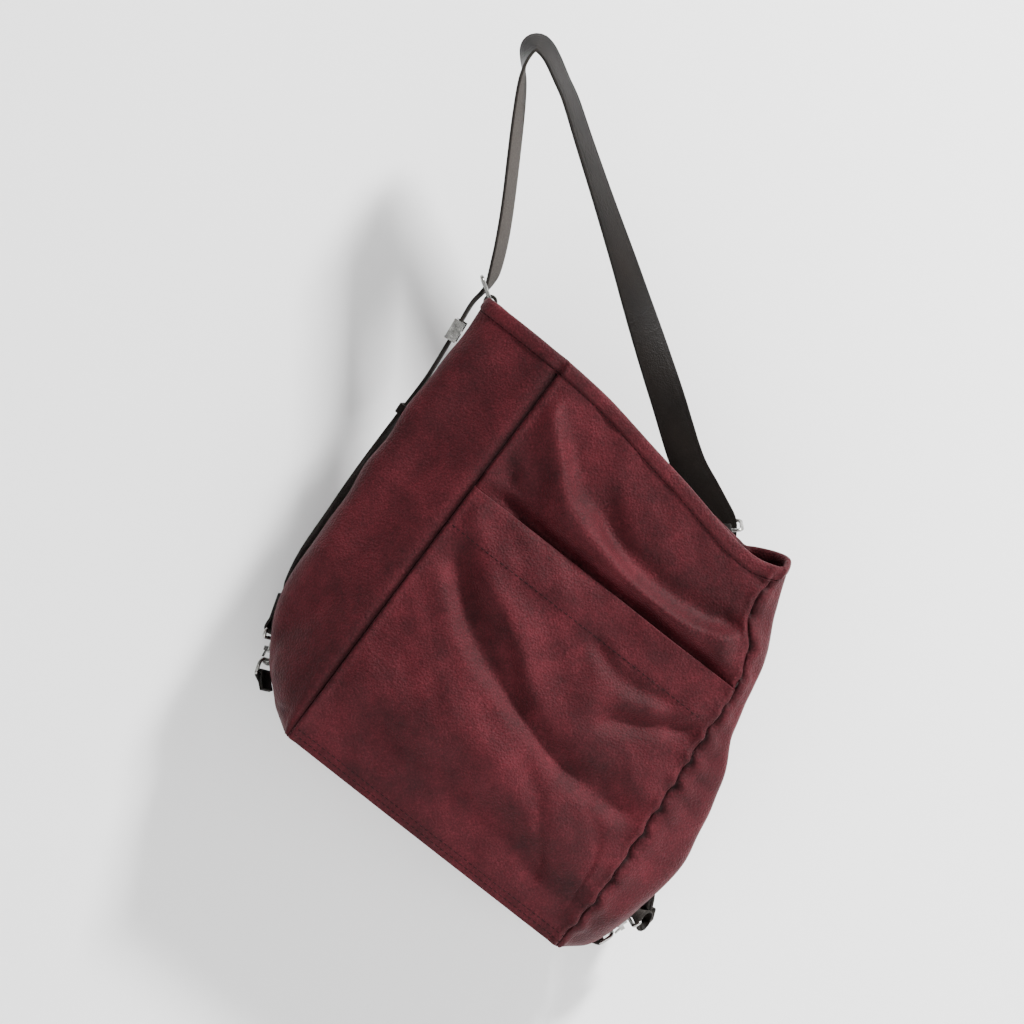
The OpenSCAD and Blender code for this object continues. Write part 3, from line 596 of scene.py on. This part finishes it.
# Rim band: a leather strip folded over the mouth's edge and sewn through, puffy between the
# stitches. Made as a flattened round profile carried round the mouth.
rim_rows = Walls([2.49, 2.5, 2.51])


def soften(path, reach):
    """A closed path averaged over reach neighbours on each side, for gentle corners."""
    return sum(np.roll(path, i, 0) for i in range(-reach, reach + 1)) / (2 * reach + 1)


rim_path = soften(rim_rows.at(0)[1], 3)
rim_out = soften(rim_rows.normal[1], 3)
rim_up = rim_rows.up[1] / np.linalg.norm(rim_rows.up[1], axis=-1, keepdims=True)
OUTER_STITCH, INNER_STITCH = 5.55, 3.85
turn = np.linspace(0, 2 * np.pi, 41)[:-1]
round_out = np.sign(np.cos(turn)) * np.abs(np.cos(turn)) ** 0.8
round_up = np.sign(np.sin(turn)) * np.abs(np.sin(turn)) ** 0.8
rim_length = np.concatenate([[0], np.cumsum(np.linalg.norm(np.diff(rim_path, axis=0), axis=-1))])
puff = 1 + 0.10 * np.sin(rim_length / 9.0 + 1.5 * np.sin(rim_length / 41))
groove = 1.3 * np.exp(-((turn - OUTER_STITCH) / 0.16) ** 2)
groove = groove + 0.9 * np.exp(-((turn - INNER_STITCH) / 0.16) ** 2)
out_by = -1.9 + (3.5 * round_out[:, None] * puff) - (groove * np.sign(round_out))[:, None]
up_by = (7.5 * round_up)[:, None] + 0.35 * np.sin(rim_length / 21)
rim = rim_path + rim_out * out_by[..., None] + rim_up * up_by[..., None]
count = rim_path.shape[0]
ids = np.arange(40 * count).reshape(40, count)
nxt, side_ids = np.roll(ids, -1, 0), np.roll(ids, -1, 1)
both = np.roll(nxt, -1, 1)
rim_band = raw_solid("rim_band_leather", to_frame(rim.reshape(-1, 3)), quads(ids, side_ids, both, nxt),
                     burgundy)
sewn(rim_band, "burgundy_leather", "rim_band")

# Mouth facing, lining and pockets. The facing is leather sewn under the rim, the lining thin
# cotton cloth, and the pockets cloth patches on it. All are layers of the same wall, deeper in.
# The cotton is a dark brown plain weave, about two threads to the millimetre, laid on the bias.
cotton = bpy.data.materials.new("lining_cotton")
cotton.use_nodes = True
tree = cotton.node_tree
shader = tree.nodes["Principled BSDF"]
place = tree.nodes.new("ShaderNodeTexCoord").outputs["Object"]
split = tree.nodes.new("ShaderNodeSeparateXYZ")
tree.links.new(place, split.inputs[0])
THREADS = 5200.0
rising = maths(tree, "ADD", split.outputs["X"], split.outputs["Z"])
falling = maths(tree, "SUBTRACT", split.outputs["X"], split.outputs["Z"])
warp = maths(tree, "SINE", maths(tree, "MULTIPLY", rising, THREADS))
weft = maths(tree, "SINE", maths(tree, "MULTIPLY", falling, THREADS))
weave = maths(tree, "MULTIPLY", warp, weft)
worn = noise(tree, place, 60.0, 4.0)
shade = maths(tree, "MULTIPLY_ADD", weave, 0.12, worn)
tree.links.new(ramp(tree, shade, [(0.3, (0.018, 0.012, 0.010)), (0.7, (0.055, 0.040, 0.033))]),
               shader.inputs["Base Color"])
tree.links.new(bump(tree, weave, 0.0001), shader.inputs["Normal"])
shader.inputs["Roughness"].default_value = 0.9
shader.inputs["Sheen Weight"].default_value = 0.2

facing_rows = Walls(np.linspace(1.74, 2.05, 22))
facing = shell("mouth_facing_leather", facing_rows.at(3.5, under_pocket=True),
               facing_rows.at(4.8, under_pocket=True), burgundy, ring=True)
sewn(facing, "burgundy_leather", "mouth_facing")
lining_rows = Walls(np.linspace(0.02, 1.84, 84))
lining = shell("lining_cloth", lining_rows.at(2.5, under_pocket=True), lining_rows.at(3.1, under_pocket=True),
               cotton, ring=True)
sewn(lining, "lining_cloth", "lining")
floor_grid = base_layer(3.2, 6.6)
lining_floor = shell("lining_floor_cloth", floor_grid[::-1], floor_grid[::-1] + (0, 0, 0.6), cotton)
sewn(lining_floor, "lining_cloth", "lining")


def patch(name, side, k_ends, s_ends, lift, thick, node):
    """A cloth patch on the inside of one wall, between two rows and two places along it. It
    stands off the lining by the height the lift function gives for each row, less at its edges."""
    k = np.linspace(*k_ends, 50)
    rows = Walls(k)
    s = crowded(COLUMNS[side] + 1)
    keep = (s > s_ends[0]) & (s < s_ends[1])
    inside = ease((k - k_ends[0]) * 12)[:, None] * ease((s - s_ends[0]) * 20) * ease((s_ends[1] - s) * 20)
    first = rows.first[side]
    columns = np.arange(first, first + len(s)) % rows.points.shape[1]
    raised = (lift(k)[:, None] * inside)[..., None] * rows.normal[:, columns]
    outer = rows.at(3.4, side, True) - raised
    inner = rows.at(3.4 + thick, side, True) - raised
    return sewn(shell(name, outer[:, keep], inner[:, keep], cotton), "lining_cloth", node)


patch("slip_pocket_cloth", "front", (0.42, 0.9), (0.28, 0.72), lambda k: 1.5 * ease((k - 0.5) * 3), 1.0,
      "inner_slip_pocket")
patch("zip_pocket_cloth", "back", (0.42, 1.2), (0.18, 0.82),
      lambda k: 0.4 + 2.0 * np.exp(-((k - 1.02) / 0.08) ** 2), 0.9, "zip_pocket")

# Stitching: twisted waxed thread a little darker than the leather. Rows run under the rim band
# inside and out, along the pocket's hem, and in two lines just over the base seam. Each stitch is
# a short bent capsule on the surface.


def tube_faces(rows, n, capped=True):
    """Faces of a tube of rows rings of n corners, its ends closed by strips between mirrored
    corners. Going round a ring and then along the tube turns left-handed."""
    ids = np.arange(rows * n).reshape(rows, n)
    side, far = np.roll(ids, -1, 1), ids + n
    faces = [quads(ids[:-1], far[:-1], np.roll(far, -1, 1)[:-1], side[:-1])]
    if capped:
        i = np.arange(n // 2 - 1)
        cap = quads(i, i + 1, n - 2 - i, n - 1 - i)
        faces += [cap, cap[:, ::-1] + (rows - 1) * n]
    return np.concatenate(faces)


def capsules(name, centres, along, up, length, radius, material, sink=0.6):
    """Many small round-ended six-sided threads or teeth as one object, in bag-frame mm. Their
    ends dip by sink radii below their middles."""
    side = np.cross(along, up)
    at = np.array([-0.5, -0.42, -0.15, 0.15, 0.42, 0.5])
    size = np.array([0.4, 0.85, 1, 1, 0.85, 0.4]) * radius
    angle = np.arange(6) * np.pi / 3
    ring = side[:, None, None] * np.cos(angle)[:, None] + up[:, None, None] * np.sin(angle)[:, None]
    centre = centres[:, None] + along[:, None] * (at * length)[:, None] - up[:, None] * (
        sink * radius * (2 * at[:, None]) ** 2)
    points = centre[:, :, None] + ring * size[:, None, None]
    one = tube_faces(6, 6)
    faces = (one[None] + 36 * np.arange(len(centres))[:, None, None]).reshape(-1, 4)
    return raw_solid(name, to_frame(points.reshape(-1, 3)), faces, material)


def along_path(path, step):
    """A path of any number of columns, resampled every step mm of its first three, and the
    unit direction there."""
    length = np.concatenate([[0], np.cumsum(np.linalg.norm(np.diff(path[:, :3], axis=0), axis=-1))])
    at = np.linspace(0, length[-1], max(2, int(round(length[-1] / step)) + 1))
    even = np.stack([np.interp(at, length, path[:, c]) for c in range(path.shape[1])], -1)
    direction = np.gradient(even[:, :3], axis=0)
    return even, direction / np.linalg.norm(direction, axis=-1, keepdims=True)


def speckled(name, dark, light, scale, roughness):
    """A matt material whose colour wanders between two tones."""
    material = bpy.data.materials.new(name)
    material.use_nodes = True
    tree = material.node_tree
    shader = tree.nodes["Principled BSDF"]
    place = tree.nodes.new("ShaderNodeTexCoord").outputs["Object"]
    grit = noise(tree, place, scale, 4.0, 0.7)
    tree.links.new(ramp(tree, grit, [(0.35, dark), (0.65, light)]), shader.inputs["Base Color"])
    tree.links.new(bump(tree, grit, 0.0001), shader.inputs["Normal"])
    shader.inputs["Roughness"].default_value = roughness
    shader.inputs["Specular IOR Level"].default_value = 0.1
    return material


dark_thread = speckled("dark_thread", (0.002, 0.0006, 0.0008), (0.007, 0.0018, 0.0026), 1800.0, 0.8)


def seam_stitches(name, path, up, pitch=5.2, length=3.7, radius=0.42, material=None):
    """A row of sewn stitches along a bag-frame path, lying on the surface with that normal."""
    even, direction = along_path(np.concatenate([path, up], 1), pitch)
    normal = even[:, 3:] / np.linalg.norm(even[:, 3:], axis=-1, keepdims=True)
    row = capsules(name, even[:, :3], direction, normal, length, radius, material or dark_thread)
    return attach(row, "bag")


for label, angle in (("outer", OUTER_STITCH), ("inner", INNER_STITCH)):
    i = np.argmin(np.abs(turn - angle))
    loop = np.concatenate([rim[i], rim[i, :1]])
    face_out = rim_out * np.sign(np.cos(angle))
    seam_stitches("rim_stitches_" + label, loop, np.concatenate([face_out, face_out[:1]]))
for label, k, first, last in (
        ("hem", 0.86, 3, 150), ("base_low", 0.0225, 2, -3), ("base_high", 0.043, 2, -3)):
    line = Walls([k - 0.004, k, k + 0.004])
    start, stop = line.first["front"], line.first["right"] + 1
    on_front = slice(start + first, stop + last if last < 0 else start + last)
    seam_stitches("front_stitches_" + label, line.at(-0.7)[1, on_front], line.normal[1, on_front])


# Zip: two woven tapes with metal teeth between them, across the back pocket. Made in the zip's
# own frame, x along it, as ribbed strips and two staggered rows of small teeth.
# The teeth are nickel plated, as all the bag's metal is: polished, with faint scratches and
# duller patches.
nickel = bpy.data.materials.new("nickel")
nickel.use_nodes = True
tree = nickel.node_tree
shader = tree.nodes["Principled BSDF"]
place = tree.nodes.new("ShaderNodeTexCoord").outputs["Object"]
dull = noise(tree, place, 190.0, 5.0, 0.7)
scratch = noise(tree, place, 2400.0, 2.0, 0.5)
tree.links.new(ramp(tree, dull, [(0.3, (0.15, 0.148, 0.142)), (0.6, (0.33, 0.325, 0.31))]),
               shader.inputs["Base Color"])
tree.links.new(maths(tree, "MULTIPLY_ADD", dull, 0.26, 0.12), shader.inputs["Roughness"])
tree.links.new(bump(tree, scratch, 0.00003, 0.5), shader.inputs["Normal"])
shader.inputs["Metallic"].default_value = 1.0

ZIP_LONG = 150
ZIP_ROW = 1.02
zip_ends = np.stack([wall_point("back", s, height_at("back", s, ZIP_ROW) / rim_z("back", s))
                     for s in (0.3, 0.7)])
zip_middle = zip_ends.mean(0) - (0, 3.6 + 4.5, 0)
zip_turn = np.arctan2(zip_ends[1, 2] - zip_ends[0, 2], zip_ends[0, 0] - zip_ends[1, 0])
zip_x = np.array([np.cos(zip_turn), 0, -np.sin(zip_turn)])
zip_lean = np.radians(12)
zip_z = np.cos(zip_lean) * np.array([np.sin(zip_turn), 0, np.cos(zip_turn)])
zip_z = zip_z - np.sin(zip_lean) * np.array([0, 1, 0])
zip_y = np.cross(zip_z, zip_x)
tape_x = np.linspace(-ZIP_LONG / 2 - 8, ZIP_LONG / 2 + 8, 120)
for label, low, high in (("upper", 1.6, 13.6), ("lower", -13.6, -1.6)):
    tape_z = np.linspace(low, high, 14)[:, None]
    rib = 0.12 * np.sin(tape_z * 2 * np.pi / 1.8) + 0 * tape_x
    middle = zip_middle + zip_x * tape_x[None, :, None] + zip_z * tape_z[..., None] + 0 * rib[..., None]
    front = middle + zip_y * (-0.8 - rib)[..., None]
    strip = shell("zip_tape_" + label, middle, front, cotton)
    sewn(strip, "lining_cloth", "zip_tape")
    teeth_x = np.arange(-ZIP_LONG / 2 + 1, ZIP_LONG / 2, 2.4) + (1.2 if label == "upper" else 0)
    apart = 0.75 if label == "upper" else -0.75
    spots = zip_middle + zip_x * teeth_x[:, None] + zip_z * apart - zip_y * 0.4
    ones = np.ones((len(spots), 1))
    row = capsules("zip_teeth_" + label, spots, zip_z * ones, -zip_y * ones, 2.6, 0.8, nickel, 0)
    sewn(row, "nickel", "zip_teeth")

# Shoulder strap: one long leather strap, grain side out and rough flesh side in. It is a band
# with rounded edges and a crease line near each, carried along the whole route: from the left
# hook behind the bag, through the left ring, over the hang point, through the right ring and
# down behind the bag to the right hook. Each end is folded back round its swivel eye and sewn.
# Its leather is near-black and vegetable tanned. The flesh side and the cut edges are rough
# grey-brown, chosen by each piece's own flesh attribute.
strap_leather = bpy.data.materials.new("strap_leather")
strap_leather.use_nodes = True
tree = strap_leather.node_tree
shader = tree.nodes["Principled BSDF"]
flesh_mask = tree.nodes.new("ShaderNodeAttribute")
flesh_mask.attribute_name = "flesh"
mottle = use_group(tree, mottle_group, Patch_Scale=22.0, Nap_Scale=900.0)
grain = use_group(tree, grain_group, Pebble_Scale=800.0, Crease_Depth=0.7)
grain_side = ramp(tree, mottle.outputs["Patches"],
                  [(0.3, (0.0012, 0.0008, 0.0006)), (0.7, (0.0045, 0.0029, 0.0021))])
flesh_side = ramp(tree, mottle.outputs["Nap"],
                  [(0.3, (0.020, 0.017, 0.015)), (0.7, (0.062, 0.055, 0.050))])
mask = maths(tree, "MULTIPLY", flesh_mask.outputs["Fac"], 0.85)
mask = maths(tree, "MULTIPLY_ADD", mottle.outputs["Nap"], 0.3, mask)
mask = maths(tree, "SUBTRACT", mask, 0.15)
tree.links.new(mix_colour(tree, mask, grain_side, flesh_side), shader.inputs["Base Color"])
tree.links.new(maths(tree, "MULTIPLY_ADD", flesh_mask.outputs["Fac"], 0.38, 0.46),
               shader.inputs["Roughness"])
tree.links.new(bump(tree, grain.outputs["Height"], 0.00025), shader.inputs["Normal"])
shader.inputs["Specular IOR Level"].default_value = 0.08

STRAP_W = 30.0
STRAP_T = 3.0
UPPER_ROUTE = [
    (-37.5, 18, -194.5, -4), (-33, 16, -184, -14), (-26.5, 12, -157, -17), (-21, 8, -123, -17),
    (-15, 4, -73, -17), (-11, 1, -39, -14), (-8.5, 0, -18, -6), (-6.5, 0, -3, 14), (-3, 0, 7, 32),
    (3, 0, 11, 37), (10, 0, 6, 34), (16.5, 0, -4, 29), (24.5, 0, -22, 27), (32, 1, -39, 28),
    (43, 3, -73, 31), (60, 6, -124, 37), (77, 9, -175, 48), (87.5, 11, -208, 57), (104, 13, -259, 74),
    (115, 14, -293, 84), (131, 17, -344, 90), (145.3, 20.5, -371, 90), (159.3, 22.5, -397, 90)]
LEFT_RUN = [(-246.5, 18, 397), (-247.5, 18, 386), (-244.2, 19.5, 360), (-239.5, 23.5, 320), (-237, 28, 280),
            (-233, 34, 230), (-229, 42, 180), (-226, 52, 130), (-219, 60, 97), (-209.5, 64, 66.5)]
RIGHT_RUN_XZ = [(39.4, 362.2), (50, 340), (73, 306), (100, 265), (122, 215), (146, 165), (168, 118),
                (182, 90), (189.5, 65)]
RIGHT_BAR = np.array([0.76, 0, 0.65])
BAG_TO_ROW = (to_frame(np.eye(3)) - to_frame(np.zeros(3))) * 1000


def unit(v):
    """Vectors of length one."""
    return v / np.linalg.norm(v, axis=-1, keepdims=True)


def to_bag(points):
    """Row-frame millimetres to the bag's frame, the inverse of to_frame."""
    return (points - BASE_AT) @ BAG_TO_ROW.T


def axes_of(lean, turn_by):
    """Columns x, y and z of a frame turned about Z by turn_by, then about Y by lean, in degrees."""
    a, b = np.radians(lean), np.radians(turn_by)
    about_y = np.array([[np.cos(a), 0, np.sin(a)], [0, 1, 0], [-np.sin(a), 0, np.cos(a)]])
    about_z = np.array([[np.cos(b), -np.sin(b), 0], [np.sin(b), np.cos(b), 0], [0, 0, 1]])
    return about_y @ about_z


STEPS = 12


def curve(points, steps=STEPS):
    """Smooth curve through rows of points, by their order, with that many steps from each to the
    next."""
    k = np.linspace(0, len(points) - 1, (len(points) - 1) * steps + 1)
    columns = np.asarray(points).T
    return np.stack([smooth(k, list(enumerate(column))) for column in columns], -1)


def band_profile(width, thick, corner, crease):
    """Cross-section of a leather band as (across, out, flesh) rows: rounded corners, faces a
    little domed, a creased line near each edge. Flesh is 1 on the inner face and the edges."""
    w, t = width / 2, thick / 2
    arc = np.linspace(0, np.pi / 2, 4)
    across = np.linspace(w - corner, corner - w, 15)[1:-1]
    a = np.concatenate([w - corner + corner * np.cos(arc), across, -(w - corner) - corner * np.sin(arc)])
    dome = 0.12 * (1 - (across / w) ** 2) - crease * np.exp(-((np.abs(across) - w + 2.8) / 0.7) ** 2)
    o = np.concatenate([t - corner + corner * np.sin(arc), t + dome, t - corner + corner * np.cos(arc)])
    half = len(a)
    edge = np.abs(a) > w - corner * 0.5
    flesh = np.concatenate([np.where(edge, 0.3, 1.0), np.where(edge[::-1], 0.3, 0.0)])
    return np.stack([np.concatenate([a, a[::-1]]), np.concatenate([o, -o[::-1]]), flesh], -1)


def band(name, route, across, material, width=STRAP_W, thick=STRAP_T, corner=0.9, crease=0.3, closed=False):
    """A leather band along a bag-frame route, as an object, its width along across."""
    along = np.roll(route, -1, 0) - np.roll(route, 1, 0) if closed else np.gradient(route, axis=0)
    along = unit(along)
    wide = unit(across - along * np.sum(across * along, -1, keepdims=True))
    out = np.cross(wide, along)
    profile = band_profile(width, thick, corner, crease)
    points = route[:, None] + wide[:, None] * profile[:, :1] + out[:, None] * profile[:, 1:2]
    faces = tube_faces(len(route), len(profile), not closed)
    if closed:
        first = np.arange(len(profile))
        last = first + (len(route) - 1) * len(profile)
        faces = np.concatenate([faces, quads(last, first, np.roll(first, -1), np.roll(last, -1))])
    piece = raw_solid(name, to_frame(points.reshape(-1, 3)), faces, material)
    return point_values(piece, "flesh", np.tile(profile[:, 2], len(route)))


def turned_back(route, across, side, reach, thick, room, drift=0.0):
    """A band that comes to a bar at the end of its route, goes round it and lies back against
    itself for reach mm. The returning layer is on the side (1 or -1) of the band's inner face."""
    left = np.linalg.norm(np.diff(route, axis=0), axis=-1)[::-1].cumsum()[::-1]
    left = np.append(left, 0)[:, None]
    along = unit(np.gradient(route, axis=0))
    out = unit(np.cross(across, along)) * side
    gap = thick / 2 + 0.06 + (room - thick / 2) * ease(1 - left / (3 * room))
    going = route - out * gap * (ease((reach + drift - left) / drift) if drift else 1)
    back = (route + out * gap)[left[:, 0] < reach][::-1]
    angle = np.linspace(0, np.pi, 14)[1:-1, None]
    bend = route[-1] + room * (-out[-1] * np.cos(angle) + along[-1] * np.sin(angle))
    path = np.concatenate([going, bend, back])
    wide = np.concatenate([across, np.repeat(across[-1:], len(angle), 0), across[left[:, 0] < reach][::-1]])
    return path, wide


upper = curve([p[:3] for p in UPPER_ROUTE])
twist = np.radians(curve([(p[3], 0) for p in UPPER_ROUTE])[:, :1])
upper_along = unit(np.gradient(upper, axis=0))
outward = unit(np.stack([-upper_along[:, 2], 0 * upper_along[:, 0], upper_along[:, 0]], -1))
upper_across = np.array([0, 1, 0]) * np.cos(twist) + outward * np.sin(twist)
upper_across = upper_across @ BAG_TO_ROW.T
to_bar = ease((np.arange(len(upper)) - len(upper) + 25) / 24)[:, None]
upper_across = upper_across + (RIGHT_BAR - upper_across) * to_bar
upper = to_bag(upper)

EYE_UP = 38.6
left_axes, right_axes = axes_of(-20, -30), axes_of(20, 25)
LEFT_LOW_AT, RIGHT_LOW_AT = np.array([-194.5, 64, 24.5]), np.array([174.0, 70, 23])
left_bar, right_bar = LEFT_LOW_AT + left_axes[:, 2] * EYE_UP, RIGHT_LOW_AT + right_axes[:, 2] * EYE_UP
left_run = curve(LEFT_RUN + [tuple(left_bar)])
left_turn = ease((np.linspace(0, len(LEFT_RUN), len(left_run)) - 3) / 3)[:, None]
left_across = np.array([0, 1.0, 0]) + (np.array([0.5, 0.87, 0.05]) - (0, 1, 0)) * left_turn
RUN_OFF_WALL = 6
run_h = np.array([z / RIGHT_BACK_Z for _, z in RIGHT_RUN_XZ])
wall_y = MOUTH_MIDDLE_Y + LEANS_BACK * (1 - run_h) + smooth(run_h, HALF_DEPTH) + smooth(run_h, BACK_OUT)
right_run = [(x, max(22, y + RUN_OFF_WALL), z) for (x, z), y in zip(RIGHT_RUN_XZ, wall_y)]
right_run = curve(right_run + [tuple(right_bar)])
right_along = unit(np.gradient(right_run, axis=0))
right_flat = unit(np.stack([-right_along[:, 2], 0 * right_along[:, 0], right_along[:, 0]], -1))
right_place = np.linspace(0, len(RIGHT_RUN_XZ), len(right_run))[:, None]
right_across = RIGHT_BAR + (right_flat - RIGHT_BAR) * ease(right_place)
right_across = right_across + (np.array([-0.42, 0.9, 0.1]) - right_across) * ease((right_place - 5) / 3)

full = np.concatenate([left_run[::-1], upper, right_run])
wide = np.concatenate([left_across[::-1], upper_across, right_across])
both, _ = along_path(np.concatenate([full, wide], 1), 2.0)
for _ in range(3):
    both[1:-1] = (both[:-2] + 2 * both[1:-1] + both[2:]) / 4
FOLD_BACK = 34
EYE_ROOM = 3.4
path, wide = turned_back(both[:, :3], unit(both[:, 3:]), -1, FOLD_BACK, STRAP_T, EYE_ROOM, 12)
path, wide = turned_back(path[::-1], wide[::-1], 1, FOLD_BACK, STRAP_T, EYE_ROOM, 12)
path, wide = path[::-1], wide[::-1]
strap = band("shoulder_strap_leather", path, wide, strap_leather)
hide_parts("shoulder_strap", "left_strap_run", "right_strap_run")
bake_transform(strap)


# Strap stitching: the folded ends are sewn across with a paler waxed thread, two rows to each.
# Each stitch is a short bent capsule, as on the bag.
pale_thread = speckled("pale_thread", (0.04, 0.03, 0.025), (0.10, 0.08, 0.07), 1800.0, 0.7)


def cross_stitches(name, at, count=5):
    """A row of stitches straight across the strap's folded end, at mm from its last station."""
    i = at if at > 0 else len(path) + at
    along = unit(path[i + 1] - path[i - 1])
    out = unit(np.cross(wide[i], along))
    places = np.linspace(-0.36, 0.36, count)[:, None] * STRAP_W
    spots = path[i] + wide[i] * places - out * (STRAP_T / 2 + 0.1)
    ones = np.ones((count, 1))
    row = capsules(name, spots, wide[i] * ones, -out * ones, 4.2, 0.45, pale_thread)
    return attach(row, "bag")


for label, places in (("left", (3, 13)), ("right", (-4, -14))):
    for n, at in enumerate(places):
        cross_stitches(f"strap_stitches_{label}_{n}", at)

# Tabs and keepers: short straps of the same black leather. Each tab is doubled round its ring's
# bar and sewn to the bag; each keeper is a closed loop about the strap.
TAB_T = 2.4


def tab(name, origin, axes, points, width_from, width_to, width, thick, room):
    """A doubled strap from its tail, through points of the given frame, round a bar at that
    frame's origin. Its width turns from one of the frame's directions to another."""
    route = curve([origin + axes @ np.array(p, float) for p in points] + [origin])
    share = ease(np.linspace(0, 1, len(route)) * 1.4)[:, None]
    first, last = axes @ np.array(width_from, float), axes @ np.array(width_to, float)
    across = unit(first * (1 - share) + last * share)
    both, _ = along_path(np.concatenate([route, across], 1), 1.0)
    loop, wide_dir = turned_back(both[:, :3], unit(both[:, 3:]), 1, 999, thick, room)
    piece = band(name + "_leather", loop, wide_dir, strap_leather, width, thick, 0.7, 0.2)
    return sewn(piece, "black_leather", name)


RING_SPAN = 22.0
left_rise, right_rise = np.radians(33), np.radians(68)
left_fall = np.array([np.cos(left_rise), 0, -np.sin(left_rise)])
left_bar_at = np.array([-245, 18, 403]) + left_fall * RING_SPAN / 2
tab("left_top_tab", left_bar_at, np.eye(3), [(23, -6.4, -34), (23, -6.2, -20), (10, -3.5, -12), (3, -1, -7)],
    (1, 0, 0), (0, 1, 0), 18, TAB_T, 4.8)
bar_axes = axes_of(-40.5, 0)
right_fall = bar_axes @ np.array([0, -np.sin(right_rise), -np.cos(right_rise)])
right_bar_at = np.array([36, 22.5, 367]) + right_fall * RING_SPAN / 2
tab("right_top_tab", right_bar_at, bar_axes, [(0, -0.6, -32), (0, -2.2, -17), (0, -2.2, -8)],
    (1, 0, 0), (1, 0, 0), 18, TAB_T, 4.8)
for name, at, axes in (("left_low_tab", LEFT_LOW_AT, left_axes @ axes_of(-34, 0)),
                       ("right_low_tab", RIGHT_LOW_AT, right_axes @ axes_of(38, 0))):
    tab(name, at, axes, [(0, 0, -15), (0, 0, -8)], (0, 1, 0), (0, 1, 0), 16, 2.0, 3.0)


def keeper(name, run, across, station):
    """A closed leather loop, 9 mm wide, about the strap at one station of a run."""
    i = station * STEPS
    along = unit(run[i - STEPS] - run[i + STEPS])
    wide_dir = unit(across[i] - along * np.dot(across[i], along))
    out = np.cross(along, wide_dir)
    angle = np.linspace(0, 2 * np.pi, 61)[:-1, None]
    flat_x = np.sign(np.cos(angle)) * np.abs(np.cos(angle)) ** 0.3
    flat_y = np.sign(np.sin(angle)) * np.abs(np.sin(angle)) ** 0.5
    loop = run[i] + wide_dir * flat_x * (STRAP_W / 2 + 1.9) + out * flat_y * (STRAP_T / 2 + 1.9)
    piece = band(name + "_leather", loop, along * np.ones((60, 1)), strap_leather, 9, TAB_T, 0.6, 0.15,
                 closed=True)
    return sewn(piece, "black_leather", name)


keeper("left_keeper", left_run, left_across, 4)
keeper("right_keeper", right_run, right_across, 5)

# Metal fittings and the base board: nickel-plated rings, hooks, gates, rivets and snaps, and a
# pressed brown fibreboard under the lining. They are the CAD pieces themselves, with finishes.
board_fibre = speckled("board_fibre", (0.07, 0.045, 0.03), (0.14, 0.095, 0.06), 700.0, 0.85)
for name, node in nodes.items():
    finish = board_fibre if name == "base_board" else nickel
    for place in node.material_slots:
        place.material = finish
